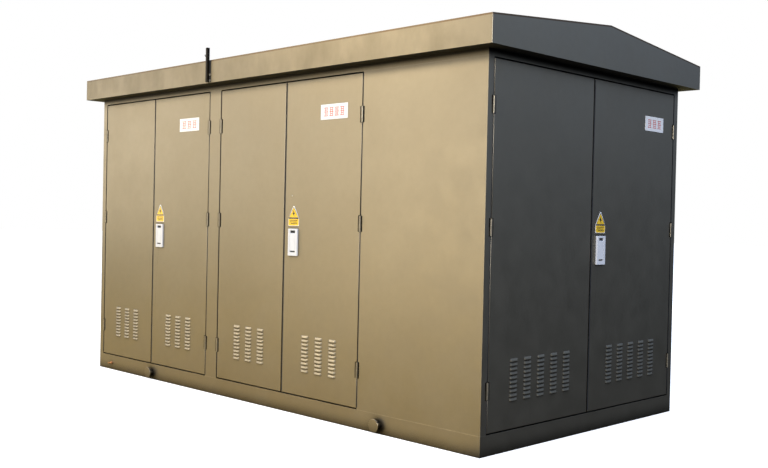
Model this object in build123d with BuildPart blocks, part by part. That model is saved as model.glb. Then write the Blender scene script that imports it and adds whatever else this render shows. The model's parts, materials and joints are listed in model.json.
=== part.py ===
from build123d import *
import math
import os

# Walk-up kiosk substation on a pad, in millimetres.
# Frame: origin at the centre of the base's underside, +Z up, +X along the length,
# -Y is the long front with the LV and transformer doors, +X is the end with the HV doors.

# ---- housing ----
LENGTH = 4240
DEPTH = 2140
WALL_TOP = 2300
BASE_TOP = 121
OVERHANG = 110
FASCIA = 165
RIDGE_RISE = 110
SHEET = 3
HALF_L = LENGTH / 2
HALF_D = DEPTH / 2

# ---- door openings: hinge lines, and the clearances round each leaf ----
LV_HINGES = (-2060, -550)
TX_HINGES = (-400, 1110)
HV_HINGES = (-1015, 1015)
DOOR_BOTTOM = 129
DOOR_TOP = 2251
HEADER_BOTTOM = 2259
HALF_SIDE_GAP = 3
CENTRE_GAP = 12
LEAF_DEPTH = 40
SKIN = 2
TUBE = 40
TUBE_WALL = 2.5
FRAME_DEPTH = 57

# ---- hinges ----
HINGE_HEIGHTS = (371, 1298, 1990)
HINGE_LENGTH = 98
BARREL_R = 9
PIN_R = 5
RUNNING = 0.05
NOTCH_WIDTH = 20
NOTCH_DEPTH = 14
NOTCH_HEIGHT = 104
TAB_NEAR = 3.5

# ---- stiffening channels on the back of each leaf, and the rods' guides on them ----
RAIL_BOTTOMS = (135, 560, 905, 1330, 1755, 2205)
CHANNEL_BACK = 24
UPPER_GUIDES = (1350, 2225)
LOWER_GUIDES = (925, 155)

# ---- louvres ----
LOUVRE_WIDTH = 60
LOUVRE_HEIGHT = 17
LOUVRE_RISE = 6
LOUVRE_PITCH = 25.5
LOUVRE_TOP = 537
LOUVRE_ROWS = 10

# ---- lock on each right-hand leaf ----
LOCK_FROM_CENTRE = 105
LOCK_Z = 1160
PLATE_WIDTH = 95
PLATE_HEIGHT = 185
PLATE_DEPTH = 12
POCKET_WIDTH = 56
POCKET_BOTTOM = 1092
POCKET_TOP = 1240
POCKET_FLOOR = 3
FLAP_PIVOT_Z = 1218
FLAP_PIVOT_DEPTH = 8
FLAP_BARREL_R = 3.5
FLAP_PIN_R = 2.5
SPINDLE_Z = 1150
SPINDLE_R = 8
BOSS_R = 14
BOSS_END = 16
CAM_PIN_REACH = 20
CAM_PIN_R = 3
CAM_THROW = CAM_PIN_REACH * math.sin(math.radians(45))
ROD_OFFSET = 17
ROD_WIDTH = 16
ROD_NEAR = 27
ROD_FAR = 33

# ---- rooms ----
LV_WALL_X = -475
HV_WALL_X = 1200
TANK_X = 362
TANK_BOTTOM = 221
LID_Z = 1121
BOARD_FRONT_Y = -100
SWITCHGEAR_FRONT_X = 1790
SWITCHGEAR_TOP = 1750
CABLE_R = 15
CABLE_RUN_Z = 1950
CABLE_SPACING = 150
CABLE_END_X = 1540
CABLE_BEND = 160
HV_BUSHING_X = TANK_X + 350
LV_BUSHING_X = TANK_X - 350
HV_BUSHING_TOP = LID_Z + 12 + 322
LV_BUSHING_TOP = LID_Z + 12 + 170

os.makedirs("parts", exist_ok=True)


def block(x0, x1, y0, y1, z0, z1):
    """A plain block between two corners."""
    with BuildPart() as made:
        with Locations(((x0 + x1) / 2, (y0 + y1) / 2, (z0 + z1) / 2)):
            Box(x1 - x0, y1 - y0, z1 - z0)
    return made.part


def tube(x0, x1, y0, y1, z0, z1, along="Z", wall=TUBE_WALL):
    """A rectangular hollow section, open at both ends along one axis."""
    inset = [wall, wall, wall]
    inset["XYZ".index(along)] = 0
    with BuildPart() as made:
        with Locations(((x0 + x1) / 2, (y0 + y1) / 2, (z0 + z1) / 2)):
            Box(x1 - x0, y1 - y0, z1 - z0)
            Box(
                x1 - x0 - 2 * inset[0],
                y1 - y0 - 2 * inset[1],
                z1 - z0 - 2 * inset[2],
                mode=Mode.SUBTRACT,
            )
    return made.part


def group(*shapes):
    """Separate solids that share one node."""
    return Compound([solid for shape in shapes for solid in shape.solids()])


def save(shape, name):
    shape.label = name
    export_step(shape, f"parts/{name}.step")


# ---- doors are drawn once, hinged at their left, then mirrored and set in place ----
# Door frame of reference: hinge axis at X = Y = 0, leaf towards +X, outside towards -Y.

DOORS = {
    "lv_left": (Location((LV_HINGES[0], -HALF_D, 0)), False),
    "lv_right": (Location((LV_HINGES[1], -HALF_D, 0)), True),
    "tx_left": (Location((TX_HINGES[0], -HALF_D, 0)), False),
    "tx_right": (Location((TX_HINGES[1], -HALF_D, 0)), True),
    "hv_left": (Location((HALF_L, HV_HINGES[0], 0), (0, 0, 90)), False),
    "hv_right": (Location((HALF_L, HV_HINGES[1], 0), (0, 0, 90)), True),
}
HALF_OPENING = {
    "lv": (LV_HINGES[1] - LV_HINGES[0]) / 2,
    "tx": (TX_HINGES[1] - TX_HINGES[0]) / 2,
    "hv": (HV_HINGES[1] - HV_HINGES[0]) / 2,
}
LOUVRE_COLUMNS = {"lv": 3, "tx": 3, "hv": 5}
LOUVRE_SPACING = {"lv": 137, "tx": 137, "hv": 133}


def set_in_place(shape, door):
    place, mirrored = DOORS[door]
    return place * (mirror(shape, about=Plane.YZ) if mirrored else shape)


def leaf_ends(room):
    """Where a leaf starts and ends, measured from its hinge axis."""
    return HALF_SIDE_GAP, HALF_OPENING[room] - CENTRE_GAP / 2


def louvre_prisms(centres, tops, outline, width):
    """One prism for each louvre, from its outline seen along X, in columns about the given centres."""
    with BuildPart() as prisms:
        for centre in centres:
            with BuildSketch(Plane.YZ.offset(centre - width / 2)):
                for top in tops:
                    with BuildLine():
                        Polyline(*outline(top), close=True)
                    make_face()
            extrude(amount=width)
    return prisms.part


def hood_outline(top):
    bottom = top - LOUVRE_HEIGHT
    return (0, top), (-LOUVRE_RISE, bottom), (0.5, bottom), (0.5, top)


def opening_outline(top):
    """The space under a hood, which leaves the hood as thick as the sheet."""
    bottom = top - LOUVRE_HEIGHT
    lip = -LOUVRE_RISE + 1.6
    rise = (SKIN - lip) * LOUVRE_HEIGHT / LOUVRE_RISE
    return (lip, bottom - 1), (lip, bottom), (SKIN + 1, bottom + rise), (SKIN + 1, bottom - 1)


def with_louvres(sheet, centres, tops):
    """A sheet in the plane Y = 0 with pressed louvres, their openings underneath."""
    with BuildPart() as made:
        add(sheet)
        add(louvre_prisms(centres, tops, hood_outline, LOUVRE_WIDTH))
        add(louvre_prisms(centres, tops, opening_outline, LOUVRE_WIDTH - 3), mode=Mode.SUBTRACT)
    return made.part


def sheet_tray(x0, x1, columns, spacing, tops):
    """A folded door skin: a face with rounded outer edges, flanges behind it and louvres."""
    width = x1 - x0
    height = DOOR_TOP - DOOR_BOTTOM
    middle = (x0 + x1) / 2
    with BuildPart() as tray:
        with Locations((middle, LEAF_DEPTH / 2, (DOOR_BOTTOM + DOOR_TOP) / 2)):
            Box(width, LEAF_DEPTH, height)
        fillet(tray.faces().sort_by(Axis.Y)[0].edges(), SKIN + 1)
        with Locations((middle, (LEAF_DEPTH + SKIN) / 2, (DOOR_BOTTOM + DOOR_TOP) / 2)):
            Box(width - 2 * SKIN, LEAF_DEPTH - SKIN, height - 2 * SKIN, mode=Mode.SUBTRACT)
    centres = [middle + (column - (columns - 1) / 2) * spacing for column in range(columns)]
    return with_louvres(tray.part, centres, tops)


def louvre_tops(first, rows=LOUVRE_ROWS):
    return [first - row * LOUVRE_PITCH for row in range(rows)]


def leaf_skin(room, active):
    x0, x1 = leaf_ends(room)
    lock_x = HALF_OPENING[room] - LOCK_FROM_CENTRE
    tray = sheet_tray(x0, x1, LOUVRE_COLUMNS[room], LOUVRE_SPACING[room], louvre_tops(LOUVRE_TOP))
    with BuildPart() as skin:
        add(tray)
        for height in HINGE_HEIGHTS:
            with Locations((NOTCH_WIDTH / 2, NOTCH_DEPTH / 2 - 1, height)):
                Box(NOTCH_WIDTH, NOTCH_DEPTH + 2, NOTCH_HEIGHT, mode=Mode.SUBTRACT)
        if active:
            with Locations(Location((lock_x, 0, SPINDLE_Z), (90, 0, 0))):
                Cylinder(BOSS_R + 1, 20, mode=Mode.SUBTRACT)
            for side, z in ((1, DOOR_TOP), (-1, DOOR_BOTTOM)):
                with Locations((lock_x + side * ROD_OFFSET, (ROD_NEAR + ROD_FAR) / 2, z)):
                    Box(ROD_WIDTH + 4, ROD_FAR - ROD_NEAR + 4, 20, mode=Mode.SUBTRACT)
    return skin.part


def channel(x0, x1, z0, z1):
    """A stiffening channel with closed ends, open towards the skin that it is welded to."""
    with BuildPart() as bar:
        with Locations(((x0 + x1) / 2, (SKIN + CHANNEL_BACK) / 2, (z0 + z1) / 2)):
            Box(x1 - x0, CHANNEL_BACK - SKIN, z1 - z0)
        with Locations(((x0 + x1) / 2, (SKIN + CHANNEL_BACK - TUBE_WALL) / 2, (z0 + z1) / 2)):
            Box(
                x1 - x0 - 2 * TUBE_WALL,
                CHANNEL_BACK - SKIN - TUBE_WALL,
                z1 - z0 - 2 * TUBE_WALL,
                mode=Mode.SUBTRACT,
            )
    return bar.part


def rod_guide(x, z):
    """A bridge on the back of a rail that a rod slides through."""
    height = 20
    with BuildPart() as guide:
        with Locations((x, (CHANNEL_BACK + ROD_FAR + 3.5) / 2, z)):
            Box(ROD_WIDTH + 12, ROD_FAR + 3.5 - CHANNEL_BACK, height)
        with Locations((x, (ROD_NEAR + ROD_FAR) / 2, z)):
            Box(ROD_WIDTH + 2, ROD_FAR - ROD_NEAR + 2, height, mode=Mode.SUBTRACT)
    return guide.part


def leaf_inner_frame(room, active):
    """Two stiles, the rails between them, and on an active leaf the guides of the two rods."""
    left = NOTCH_WIDTH + 2
    right = leaf_ends(room)[1] - SKIN
    low, high = DOOR_BOTTOM + 6, DOOR_TOP - 6
    pieces = [channel(left, left + TUBE, low, high), channel(right - TUBE, right, low, high)]
    pieces += [channel(left + TUBE, right - TUBE, z, z + TUBE) for z in RAIL_BOTTOMS]
    if active:
        lock_x = HALF_OPENING[room] - LOCK_FROM_CENTRE
        pieces += [rod_guide(lock_x + ROD_OFFSET, z) for z in UPPER_GUIDES]
        pieces += [rod_guide(lock_x - ROD_OFFSET, z) for z in LOWER_GUIDES]
    return pieces


def hinge_halves(on_leaf):
    """Lift-off hinges: the frame half below with its pin, the leaf half above with a bore."""
    side = 1 if on_leaf else -1
    half = HINGE_LENGTH / 2
    tab_far = BARREL_R
    with BuildPart() as halves:
        for height in HINGE_HEIGHTS:
            start = height + 0.5 if on_leaf else height - half
            with Locations((side * (TAB_NEAR + tab_far) / 2, NOTCH_DEPTH / 2, start + (half - 0.5) / 2)):
                Box(tab_far - TAB_NEAR, NOTCH_DEPTH, half - 0.5)
            with Locations((0, 0, start + (half - 0.5) / 2)):
                Cylinder(BARREL_R, half - 0.5)
        if on_leaf:
            for height in HINGE_HEIGHTS:
                with Locations((0, 0, height + half / 2)):
                    Cylinder(PIN_R + RUNNING, half + 2, mode=Mode.SUBTRACT)
        else:
            for height in HINGE_HEIGHTS:
                with Locations((0, 0, height - 5)):
                    Cylinder(PIN_R, HINGE_LENGTH - 4)
    return halves.part


def leaf_signs(room):
    """The room sign near the hinge side and the warning plate above the lock."""
    half = HALF_OPENING[room]
    sign_width = 240 if room == "hv" else 260
    plate_x = half - LOCK_FROM_CENTRE + 2
    with BuildPart() as signs:
        with BuildSketch(Plane.XZ):
            with Locations((265, 2024)):
                RectangleRounded(sign_width, 100, 3)
            with BuildLine():
                Polyline(
                    (plate_x - 55, 1271), (plate_x + 55, 1271), (plate_x + 55, 1322),
                    (plate_x + 5, 1406), (plate_x - 5, 1406), (plate_x - 55, 1322), close=True,
                )
            make_face()
        extrude(amount=1.5)
    return signs.part


def lock_plate(room):
    """The lock's body: a rim round a pocket, with a boss that carries the spindle."""
    x = HALF_OPENING[room] - LOCK_FROM_CENTRE
    with BuildPart() as plate:
        with Locations((x, -PLATE_DEPTH / 2, LOCK_Z)):
            Box(PLATE_WIDTH, PLATE_DEPTH, PLATE_HEIGHT)
        fillet(plate.edges().filter_by(Axis.Y), 4)
        fillet(plate.faces().sort_by(Axis.Y)[0].edges(), 2.5)
        pocket_depth = PLATE_DEPTH - POCKET_FLOOR
        with Locations((x, -POCKET_FLOOR - pocket_depth / 2, (POCKET_BOTTOM + POCKET_TOP) / 2)):
            Box(POCKET_WIDTH, pocket_depth, POCKET_TOP - POCKET_BOTTOM, mode=Mode.SUBTRACT)
        with Locations(Location((x, BOSS_END / 2 - 0.5, SPINDLE_Z), (90, 0, 0))):
            Cylinder(BOSS_R, BOSS_END + 1)
        with Locations(Location((x, 5, SPINDLE_Z), (90, 0, 0))):
            Cylinder(SPINDLE_R + RUNNING, 40, mode=Mode.SUBTRACT)
        with Locations(Location((x, -FLAP_PIVOT_DEPTH, FLAP_PIVOT_Z), (0, 90, 0))):
            Cylinder(FLAP_PIN_R + RUNNING, POCKET_WIDTH + 12, mode=Mode.SUBTRACT)
    return plate.part


def lock_flap(room):
    """The pull flap: a barrel with two stub pins, a flat grip and a finger lip."""
    x = HALF_OPENING[room] - LOCK_FROM_CENTRE
    barrel_length = POCKET_WIDTH - 1
    with BuildPart() as flap:
        with BuildSketch(Plane.YZ.offset(x - 26)):
            with BuildLine():
                Polyline(
                    (-11.5, FLAP_PIVOT_Z), (-11.5, 1102), (-6, 1102), (-6, 1106),
                    (-7.5, 1108), (-7.5, FLAP_PIVOT_Z), close=True,
                )
            make_face()
        extrude(amount=52)
        with Locations(Location((x, -FLAP_PIVOT_DEPTH, FLAP_PIVOT_Z), (0, 90, 0))):
            Cylinder(FLAP_BARREL_R, barrel_length)
            Cylinder(FLAP_PIN_R, POCKET_WIDTH + 10)
        fillet(flap.edges().filter_by(Axis.Y).group_by(Axis.Z)[0], 1)
    return flap.part


def lock_spindle(room):
    """Three-sided key head, shaft, and a cam with two pins at 45 degrees below and above level."""
    x = HALF_OPENING[room] - LOCK_FROM_CENTRE
    front = Plane((x, -2.5, SPINDLE_Z), x_dir=(1, 0, 0), z_dir=(0, -1, 0))
    with BuildPart() as spindle:
        with BuildSketch(front):
            RegularPolygon(6.5, 3)
        extrude(amount=4)
        with BuildSketch(front):
            Circle(SPINDLE_R)
        extrude(amount=-19.5)
        with BuildSketch(front.offset(-19.5)):
            with Locations(Rotation(0, 0, -45)):
                SlotOverall(2 * CAM_PIN_REACH + 16, 16)
        extrude(amount=-5)
        with BuildSketch(front.offset(-24.5)):
            with Locations((CAM_THROW, -CAM_THROW), (-CAM_THROW, CAM_THROW)):
                Circle(CAM_PIN_R)
        extrude(amount=-12.5)
    return spindle.part


def lock_rod(room, side):
    """A flat rod with a cross slot for its cam pin. side is 1 for the upper rod, -1 for the lower."""
    x = HALF_OPENING[room] - LOCK_FROM_CENTRE
    slot_z = SPINDLE_Z - side * CAM_THROW
    tip = DOOR_TOP - 5 if side > 0 else DOOR_BOTTOM + 5
    back = Plane((x, ROD_NEAR, 0), x_dir=(1, 0, 0), z_dir=(0, -1, 0))
    with BuildPart() as rod:
        with BuildSketch(back):
            with Locations((side * ROD_OFFSET, (slot_z + tip) / 2)):
                Rectangle(ROD_WIDTH, abs(tip - slot_z))
            with Locations((side * ROD_OFFSET, slot_z)):
                RectangleRounded(22, 20, 3)
            with Locations((side * ROD_OFFSET, slot_z)):
                SlotOverall(14.8, 2 * CAM_PIN_R + 2.2, mode=Mode.SUBTRACT)
        extrude(amount=-(ROD_FAR - ROD_NEAR))
        chamfer(rod.faces().sort_by(Axis.Z)[-1 if side > 0 else 0].edges().filter_by(Axis.X), 2)
    return rod.part


for room in ("lv", "tx", "hv"):
    for side in ("left", "right"):
        door = f"{room}_{side}"
        active = side == "right"
        save(set_in_place(leaf_skin(room, active), door), f"{door}_door_skin")
        frame_pieces = [set_in_place(piece, door) for piece in leaf_inner_frame(room, active)]
        save(group(*frame_pieces), f"{door}_door_frame")
        save(set_in_place(hinge_halves(on_leaf=True), door), f"{door}_door_hinges")
        if active:
            save(set_in_place(leaf_signs(room), door), f"{room}_door_signs")
            save(set_in_place(lock_plate(room), door), f"{room}_lock_plate")
            save(set_in_place(lock_flap(room), door), f"{room}_lock_flap")
            save(set_in_place(lock_spindle(room), door), f"{room}_lock_spindle")
            save(set_in_place(lock_rod(room, 1), door), f"{room}_upper_rod")
            save(set_in_place(lock_rod(room, -1), door), f"{room}_lower_rod")

save(group(*[set_in_place(hinge_halves(on_leaf=False), door) for door in DOORS]), "hinge_frame_halves")


# ---- cuts in the fixed frame: hinge pockets and rod keepers ----

def hinge_pockets(door):
    with BuildPart() as pockets:
        for height in HINGE_HEIGHTS:
            with Locations((-NOTCH_WIDTH / 2, NOTCH_DEPTH / 2 - 1, height)):
                Box(NOTCH_WIDTH, NOTCH_DEPTH + 2, NOTCH_HEIGHT)
    return set_in_place(pockets.part, door)


def rod_keepers(room):
    x = HALF_OPENING[room] - LOCK_FROM_CENTRE
    y = (ROD_NEAR + ROD_FAR) / 2
    with BuildPart() as keepers:
        for side, z in ((1, HEADER_BOTTOM), (-1, BASE_TOP)):
            with Locations((x + side * ROD_OFFSET, y, z)):
                Box(ROD_WIDTH + 4, ROD_FAR - ROD_NEAR + 4, 20)
    return set_in_place(keepers.part, f"{room}_right")


POCKETS = [hinge_pockets(door) for door in DOORS]
KEEPERS = [rod_keepers(room) for room in ("lv", "tx", "hv")]


def relieved(shape, cuts):
    """A fixed member with the hinge pockets or keepers that meet it cut away."""
    with BuildPart() as made:
        add(shape)
        for cut in cuts:
            add(cut, mode=Mode.SUBTRACT)
    return made.part


# ---- base frame: a ring of channels flush with the walls, and cross members ----

RAIL_FLANGE = 70
RAIL_WALL = 6
ANCHOR_X = 1900
ANCHOR_Y = HALF_D - 40
ANCHOR_R = 9


def base_channel(length):
    """A channel lying along X with its web on the outside, at Y = 0, and its flanges towards +Y."""
    with BuildPart() as channel:
        with BuildSketch(Plane.YZ.offset(-length / 2)):
            with Locations((RAIL_FLANGE / 2, BASE_TOP / 2)):
                Rectangle(RAIL_FLANGE, BASE_TOP)
            with Locations(((RAIL_FLANGE + RAIL_WALL) / 2, BASE_TOP / 2)):
                Rectangle(RAIL_FLANGE - RAIL_WALL, BASE_TOP - 2 * RAIL_WALL, mode=Mode.SUBTRACT)
        extrude(amount=length)
    return channel.part


def long_rail(turn):
    with BuildPart() as rail:
        add(base_channel(LENGTH).moved(Location((0, -HALF_D, 0))))
        with Locations((0, -HALF_D + RAIL_FLANGE / 2, BASE_TOP / 2)):
            with GridLocations(LENGTH - RAIL_WALL, 0, 2, 1):
                Box(RAIL_WALL, RAIL_FLANGE, BASE_TOP)
        with Locations(*[(x, -ANCHOR_Y, 0) for x in (-ANCHOR_X, ANCHOR_X)]):
            Cylinder(ANCHOR_R, 40, mode=Mode.SUBTRACT)
    return Location((0, 0, 0), (0, 0, turn)) * rail.part


end_rail = base_channel(DEPTH - 2 * RAIL_FLANGE)
rails = [
    long_rail(0),
    long_rail(180),
    Location((HALF_L, 0, 0), (0, 0, 90)) * end_rail,
    Location((-HALF_L, 0, 0), (0, 0, -90)) * end_rail,
]
inner_y = HALF_D - RAIL_FLANGE
cross_members = [
    tube(x - 40, x + 40, -inner_y, inner_y, 11, BASE_TOP, along="Y", wall=5)
    for x in (LV_WALL_X, TANK_X - 330, TANK_X + 330, HV_WALL_X)
]
save(group(*[relieved(rail, KEEPERS) for rail in rails], *cross_members), "base_frame")

TRUNNION_X = 1300
TRUNNION_Z = 52


def lifting_trunnion():
    with BuildPart() as trunnion:
        with BuildSketch(Plane.XZ):
            Circle(30)
        extrude(amount=27)
        with BuildSketch(Plane.XZ.offset(27)):
            Circle(42)
        extrude(amount=8)
        fillet(trunnion.edges().sort_by(Axis.Y)[0], 2)
    return trunnion.part


save(
    group(*[
        Location((x, side * HALF_D, TRUNNION_Z), (0, 0, 0 if side < 0 else 180)) * lifting_trunnion()
        for x in (-TRUNNION_X, TRUNNION_X) for side in (-1, 1)
    ]),
    "lifting_trunnions",
)

EARTH_X = 1920
EARTH_Z = 57


def earthing_stud():
    """An M12 stud with its washer and nut."""
    with BuildPart() as stud:
        with BuildSketch(Plane.XZ):
            Circle(12)
        extrude(amount=2.5)
        with BuildSketch(Plane.XZ.offset(2.5)):
            RegularPolygon(10.5, 6)
        extrude(amount=9)
        with BuildSketch(Plane.XZ.offset(11.5)):
            Circle(6)
        extrude(amount=22)
    return stud.part


save(
    group(
        Location((-EARTH_X, -HALF_D, EARTH_Z)) * earthing_stud(),
        Location((EARTH_X, HALF_D, EARTH_Z), (0, 0, 180)) * earthing_stud(),
    ),
    "earthing_studs",
)

# ---- floor plates: the walkable strip behind each pair of doors ----
floor_y = inner_y - 2
save(
    group(
        block(-2045, LV_WALL_X - 45, -floor_y, -330, BASE_TOP, BASE_TOP + 4),
        block(LV_WALL_X + 45, HV_WALL_X - 45, -floor_y, -480, BASE_TOP, BASE_TOP + 4),
        block(1830, 2045, -floor_y, floor_y, BASE_TOP, BASE_TOP + 4),
    ),
    "floor_plates",
)

# ---- door frames: hollow posts, headers and the stops that the leaves shut against ----
front_y = -HALF_D + SHEET
back_y = front_y + FRAME_DEPTH
end_x = HALF_L - SHEET
end_in_x = end_x - FRAME_DEPTH
lv_left, lv_right = LV_HINGES[0] - HALF_SIDE_GAP, LV_HINGES[1] + HALF_SIDE_GAP
tx_left, tx_right = TX_HINGES[0] - HALF_SIDE_GAP, TX_HINGES[1] + HALF_SIDE_GAP
hv_edge = HV_HINGES[1] + HALF_SIDE_GAP
STOP_NEAR = LEAF_DEPTH + 2
STOP_FAR = STOP_NEAR + 10
STOP_REACH = 20

posts = [
    tube(lv_left - TUBE, lv_left, front_y, back_y, BASE_TOP, HEADER_BOTTOM),
    tube(lv_right, lv_right + TUBE, front_y, back_y, BASE_TOP, HEADER_BOTTOM),
    tube(tx_left - TUBE, tx_left, front_y, back_y, BASE_TOP, HEADER_BOTTOM),
    tube(tx_right, tx_right + TUBE, front_y, back_y, BASE_TOP, HEADER_BOTTOM),
    tube(end_in_x, end_x, -HALF_D + SHEET, -hv_edge, BASE_TOP, HEADER_BOTTOM),
    tube(end_in_x, end_x, hv_edge, HALF_D - SHEET, BASE_TOP, HEADER_BOTTOM),
]
rear_posts = [
    tube(tx_left - TUBE, tx_left, -back_y, -front_y, BASE_TOP, HEADER_BOTTOM),
    tube(tx_right, tx_right + TUBE, -back_y, -front_y, BASE_TOP, HEADER_BOTTOM),
    tube(-HALF_L + SHEET, -HALF_L + SHEET + TUBE, -back_y, -front_y, BASE_TOP, HEADER_BOTTOM),
]
headers = [
    tube(-HALF_L + SHEET, end_x, front_y, back_y, HEADER_BOTTOM, WALL_TOP, along="X"),
    tube(-HALF_L + SHEET, end_x, -back_y, -front_y, HEADER_BOTTOM, WALL_TOP, along="X"),
    tube(end_in_x, end_x, back_y, -back_y, HEADER_BOTTOM, WALL_TOP, along="Y"),
]


def front_stops(left, right):
    """Two side stops and a head stop behind the leaves of one front opening."""
    near, far = -HALF_D + STOP_NEAR, -HALF_D + STOP_FAR
    inner_left, inner_right = left + STOP_REACH, right - STOP_REACH
    return [
        block(left, inner_left, near, far, BASE_TOP, HEADER_BOTTOM),
        block(inner_right, right, near, far, BASE_TOP, HEADER_BOTTOM),
        block(inner_left, inner_right, near, far, HEADER_BOTTOM - STOP_REACH, HEADER_BOTTOM),
    ]


def end_stops(edge):
    near, far = HALF_L - STOP_FAR, HALF_L - STOP_NEAR
    inner = edge - STOP_REACH
    return [
        block(near, far, -edge, -inner, BASE_TOP, HEADER_BOTTOM),
        block(near, far, inner, edge, BASE_TOP, HEADER_BOTTOM),
        block(near, far, -inner, inner, HEADER_BOTTOM - STOP_REACH, HEADER_BOTTOM),
    ]


stops = front_stops(lv_left, lv_right) + front_stops(tx_left, tx_right) + end_stops(hv_edge)
save(
    group(
        *[relieved(post, POCKETS) for post in posts],
        *rear_posts,
        *[relieved(header, KEEPERS) for header in headers],
        *stops,
    ),
    "door_frames",
)

# ---- wall sheets, flush with the base rails ----
front_sheets = [
    block(-HALF_L, lv_left, -HALF_D, front_y, BASE_TOP, HEADER_BOTTOM),
    block(lv_right, tx_left, -HALF_D, front_y, BASE_TOP, HEADER_BOTTOM),
    block(tx_right, HALF_L, -HALF_D, front_y, BASE_TOP, HEADER_BOTTOM),
    block(-HALF_L, HALF_L, -HALF_D, front_y, HEADER_BOTTOM, WALL_TOP),
]
save(group(*[relieved(sheet, POCKETS[:4]) for sheet in front_sheets]), "front_wall")

end_sheets = [
    block(end_x, HALF_L, front_y, -hv_edge, BASE_TOP, HEADER_BOTTOM),
    block(end_x, HALF_L, hv_edge, HALF_D - SHEET, BASE_TOP, HEADER_BOTTOM),
    block(end_x, HALF_L, front_y, HALF_D - SHEET, HEADER_BOTTOM, WALL_TOP),
]
save(group(*[relieved(sheet, POCKETS[4:]) for sheet in end_sheets]), "right_end_wall")

save(
    group(
        block(-HALF_L, tx_left, HALF_D - SHEET, HALF_D, BASE_TOP, HEADER_BOTTOM),
        block(tx_right, HALF_L, HALF_D - SHEET, HALF_D, BASE_TOP, HEADER_BOTTOM),
        block(-HALF_L, HALF_L, HALF_D - SHEET, HALF_D, HEADER_BOTTOM, WALL_TOP),
    ),
    "rear_wall",
)


def end_wall():
    """The blind end, with two bands of louvres that cool the LV room."""
    tops = louvre_tops(LOUVRE_TOP) + louvre_tops(2150)
    width = DEPTH - 2 * SHEET
    with BuildPart() as wall:
        with Locations((0, SHEET / 2, (BASE_TOP + WALL_TOP) / 2)):
            Box(width, SHEET, WALL_TOP - BASE_TOP)
    centres = [column * 200 for column in (-3, -2, -1, 1, 2, 3)]
    return Location((-HALF_L, 0, 0), (0, 0, -90)) * with_louvres(wall.part, centres, tops)


save(end_wall(), "left_end_wall")


def rear_vent_panel():
    x0, x1 = leaf_ends("tx")
    tops = louvre_tops(LOUVRE_TOP, 14) + louvre_tops(2150, 14)
    return sheet_tray(x0, x1, 4, 150, tops)


rear_place = Location((TX_HINGES[1], HALF_D, 0), (0, 0, 180))
rear_mirrored = Location((TX_HINGES[0], HALF_D, 0), (0, 0, 180)) * mirror(rear_vent_panel(), about=Plane.YZ)
save(group(rear_place * rear_vent_panel(), rear_mirrored), "rear_vent_panels")

# ---- partitions between the rooms ----
PARTITION_TOP = WALL_TOP - 5


def partition(x, windows):
    with BuildPart() as wall:
        with Locations((x, 0, (BASE_TOP + PARTITION_TOP) / 2)):
            Box(SHEET, 2 * inner_y, PARTITION_TOP - BASE_TOP)
        for y, z, width, height in windows:
            with Locations((x, y, z)):
                Box(40, width, height, mode=Mode.SUBTRACT)
    return wall.part


BUSBAR_Z = LV_BUSHING_TOP + 35
BUSBAR_YS = (-150, -50, 50, 150)
cable_ys = (-CABLE_SPACING, 0, CABLE_SPACING)
save(
    group(
        partition(LV_WALL_X, [(0, BUSBAR_Z, 420, 120)]),
        partition(HV_WALL_X, [(y, CABLE_RUN_Z, 60, 60) for y in cable_ys]),
    ),
    "partition_walls",
)


# ---- roof: folded fascia, shallow gable and a soffit that rests on the walls ----
def roof():
    y = HALF_D + OVERHANG
    x = HALF_L + OVERHANG
    eaves = WALL_TOP + FASCIA
    ridge = eaves + RIDGE_RISE
    with BuildPart() as made:
        with BuildSketch(Plane.YZ.offset(-x)):
            with BuildLine():
                Polyline((-y, WALL_TOP), (-y, eaves), (0, ridge), (y, eaves), (y, WALL_TOP), close=True)
            make_face()
        extrude(amount=2 * x)
        fillet(made.edges().filter_by(Axis.Z), 5)
        with BuildSketch(Plane.YZ.offset(-x + SHEET)):
            with BuildLine():
                Polyline(
                    (-y + SHEET, WALL_TOP + SHEET), (-y + SHEET, eaves - SHEET), (0, ridge - SHEET),
                    (y - SHEET, eaves - SHEET), (y - SHEET, WALL_TOP + SHEET), close=True,
                )
            make_face()
        extrude(amount=2 * (x - SHEET), mode=Mode.SUBTRACT)
        with Locations((0, 0, WALL_TOP)):
            Box(LENGTH - 2 * 60, DEPTH - 2 * 60, 20, mode=Mode.SUBTRACT)
    return made.part


save(roof(), "roof_shell")

# ---- roof post on the front fascia, and its bolts ----
POST_X = -415
POST_Y = -HALF_D - OVERHANG - 11
POST_TOP = 2555
save(tube(POST_X - 10, POST_X + 10, POST_Y - 11, POST_Y + 11, WALL_TOP + 3, POST_TOP, wall=3), "roof_post")


def bolt(shank_length):
    """A hexagon bolt along +Y, its head on the -Y side of the origin."""
    with BuildPart() as made:
        with BuildSketch(Plane.XZ):
            RegularPolygon(8, 6)
        extrude(amount=6)
        with BuildSketch(Plane.XZ):
            Circle(4)
        extrude(amount=-shank_length)
    return made.part


fascia_y = -HALF_D - OVERHANG
save(
    group(
        Location((POST_X - 10, POST_Y, 2490), (0, 0, -90)) * bolt(2),
        Location((POST_X - 10, POST_Y, 2428), (0, 0, -90)) * bolt(2),
        Location((POST_X + 22, fascia_y, 2358)) * bolt(2),
        Location((POST_X + 22, fascia_y, 2315)) * bolt(2),
    ),
    "roof_post_bolts",
)

# ---- transformer: finned tank, lid, bushings, and the core with its three coils ----
TANK_HALF_X, TANK_HALF_Y, TANK_WALL = 520, 230, 6


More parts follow.
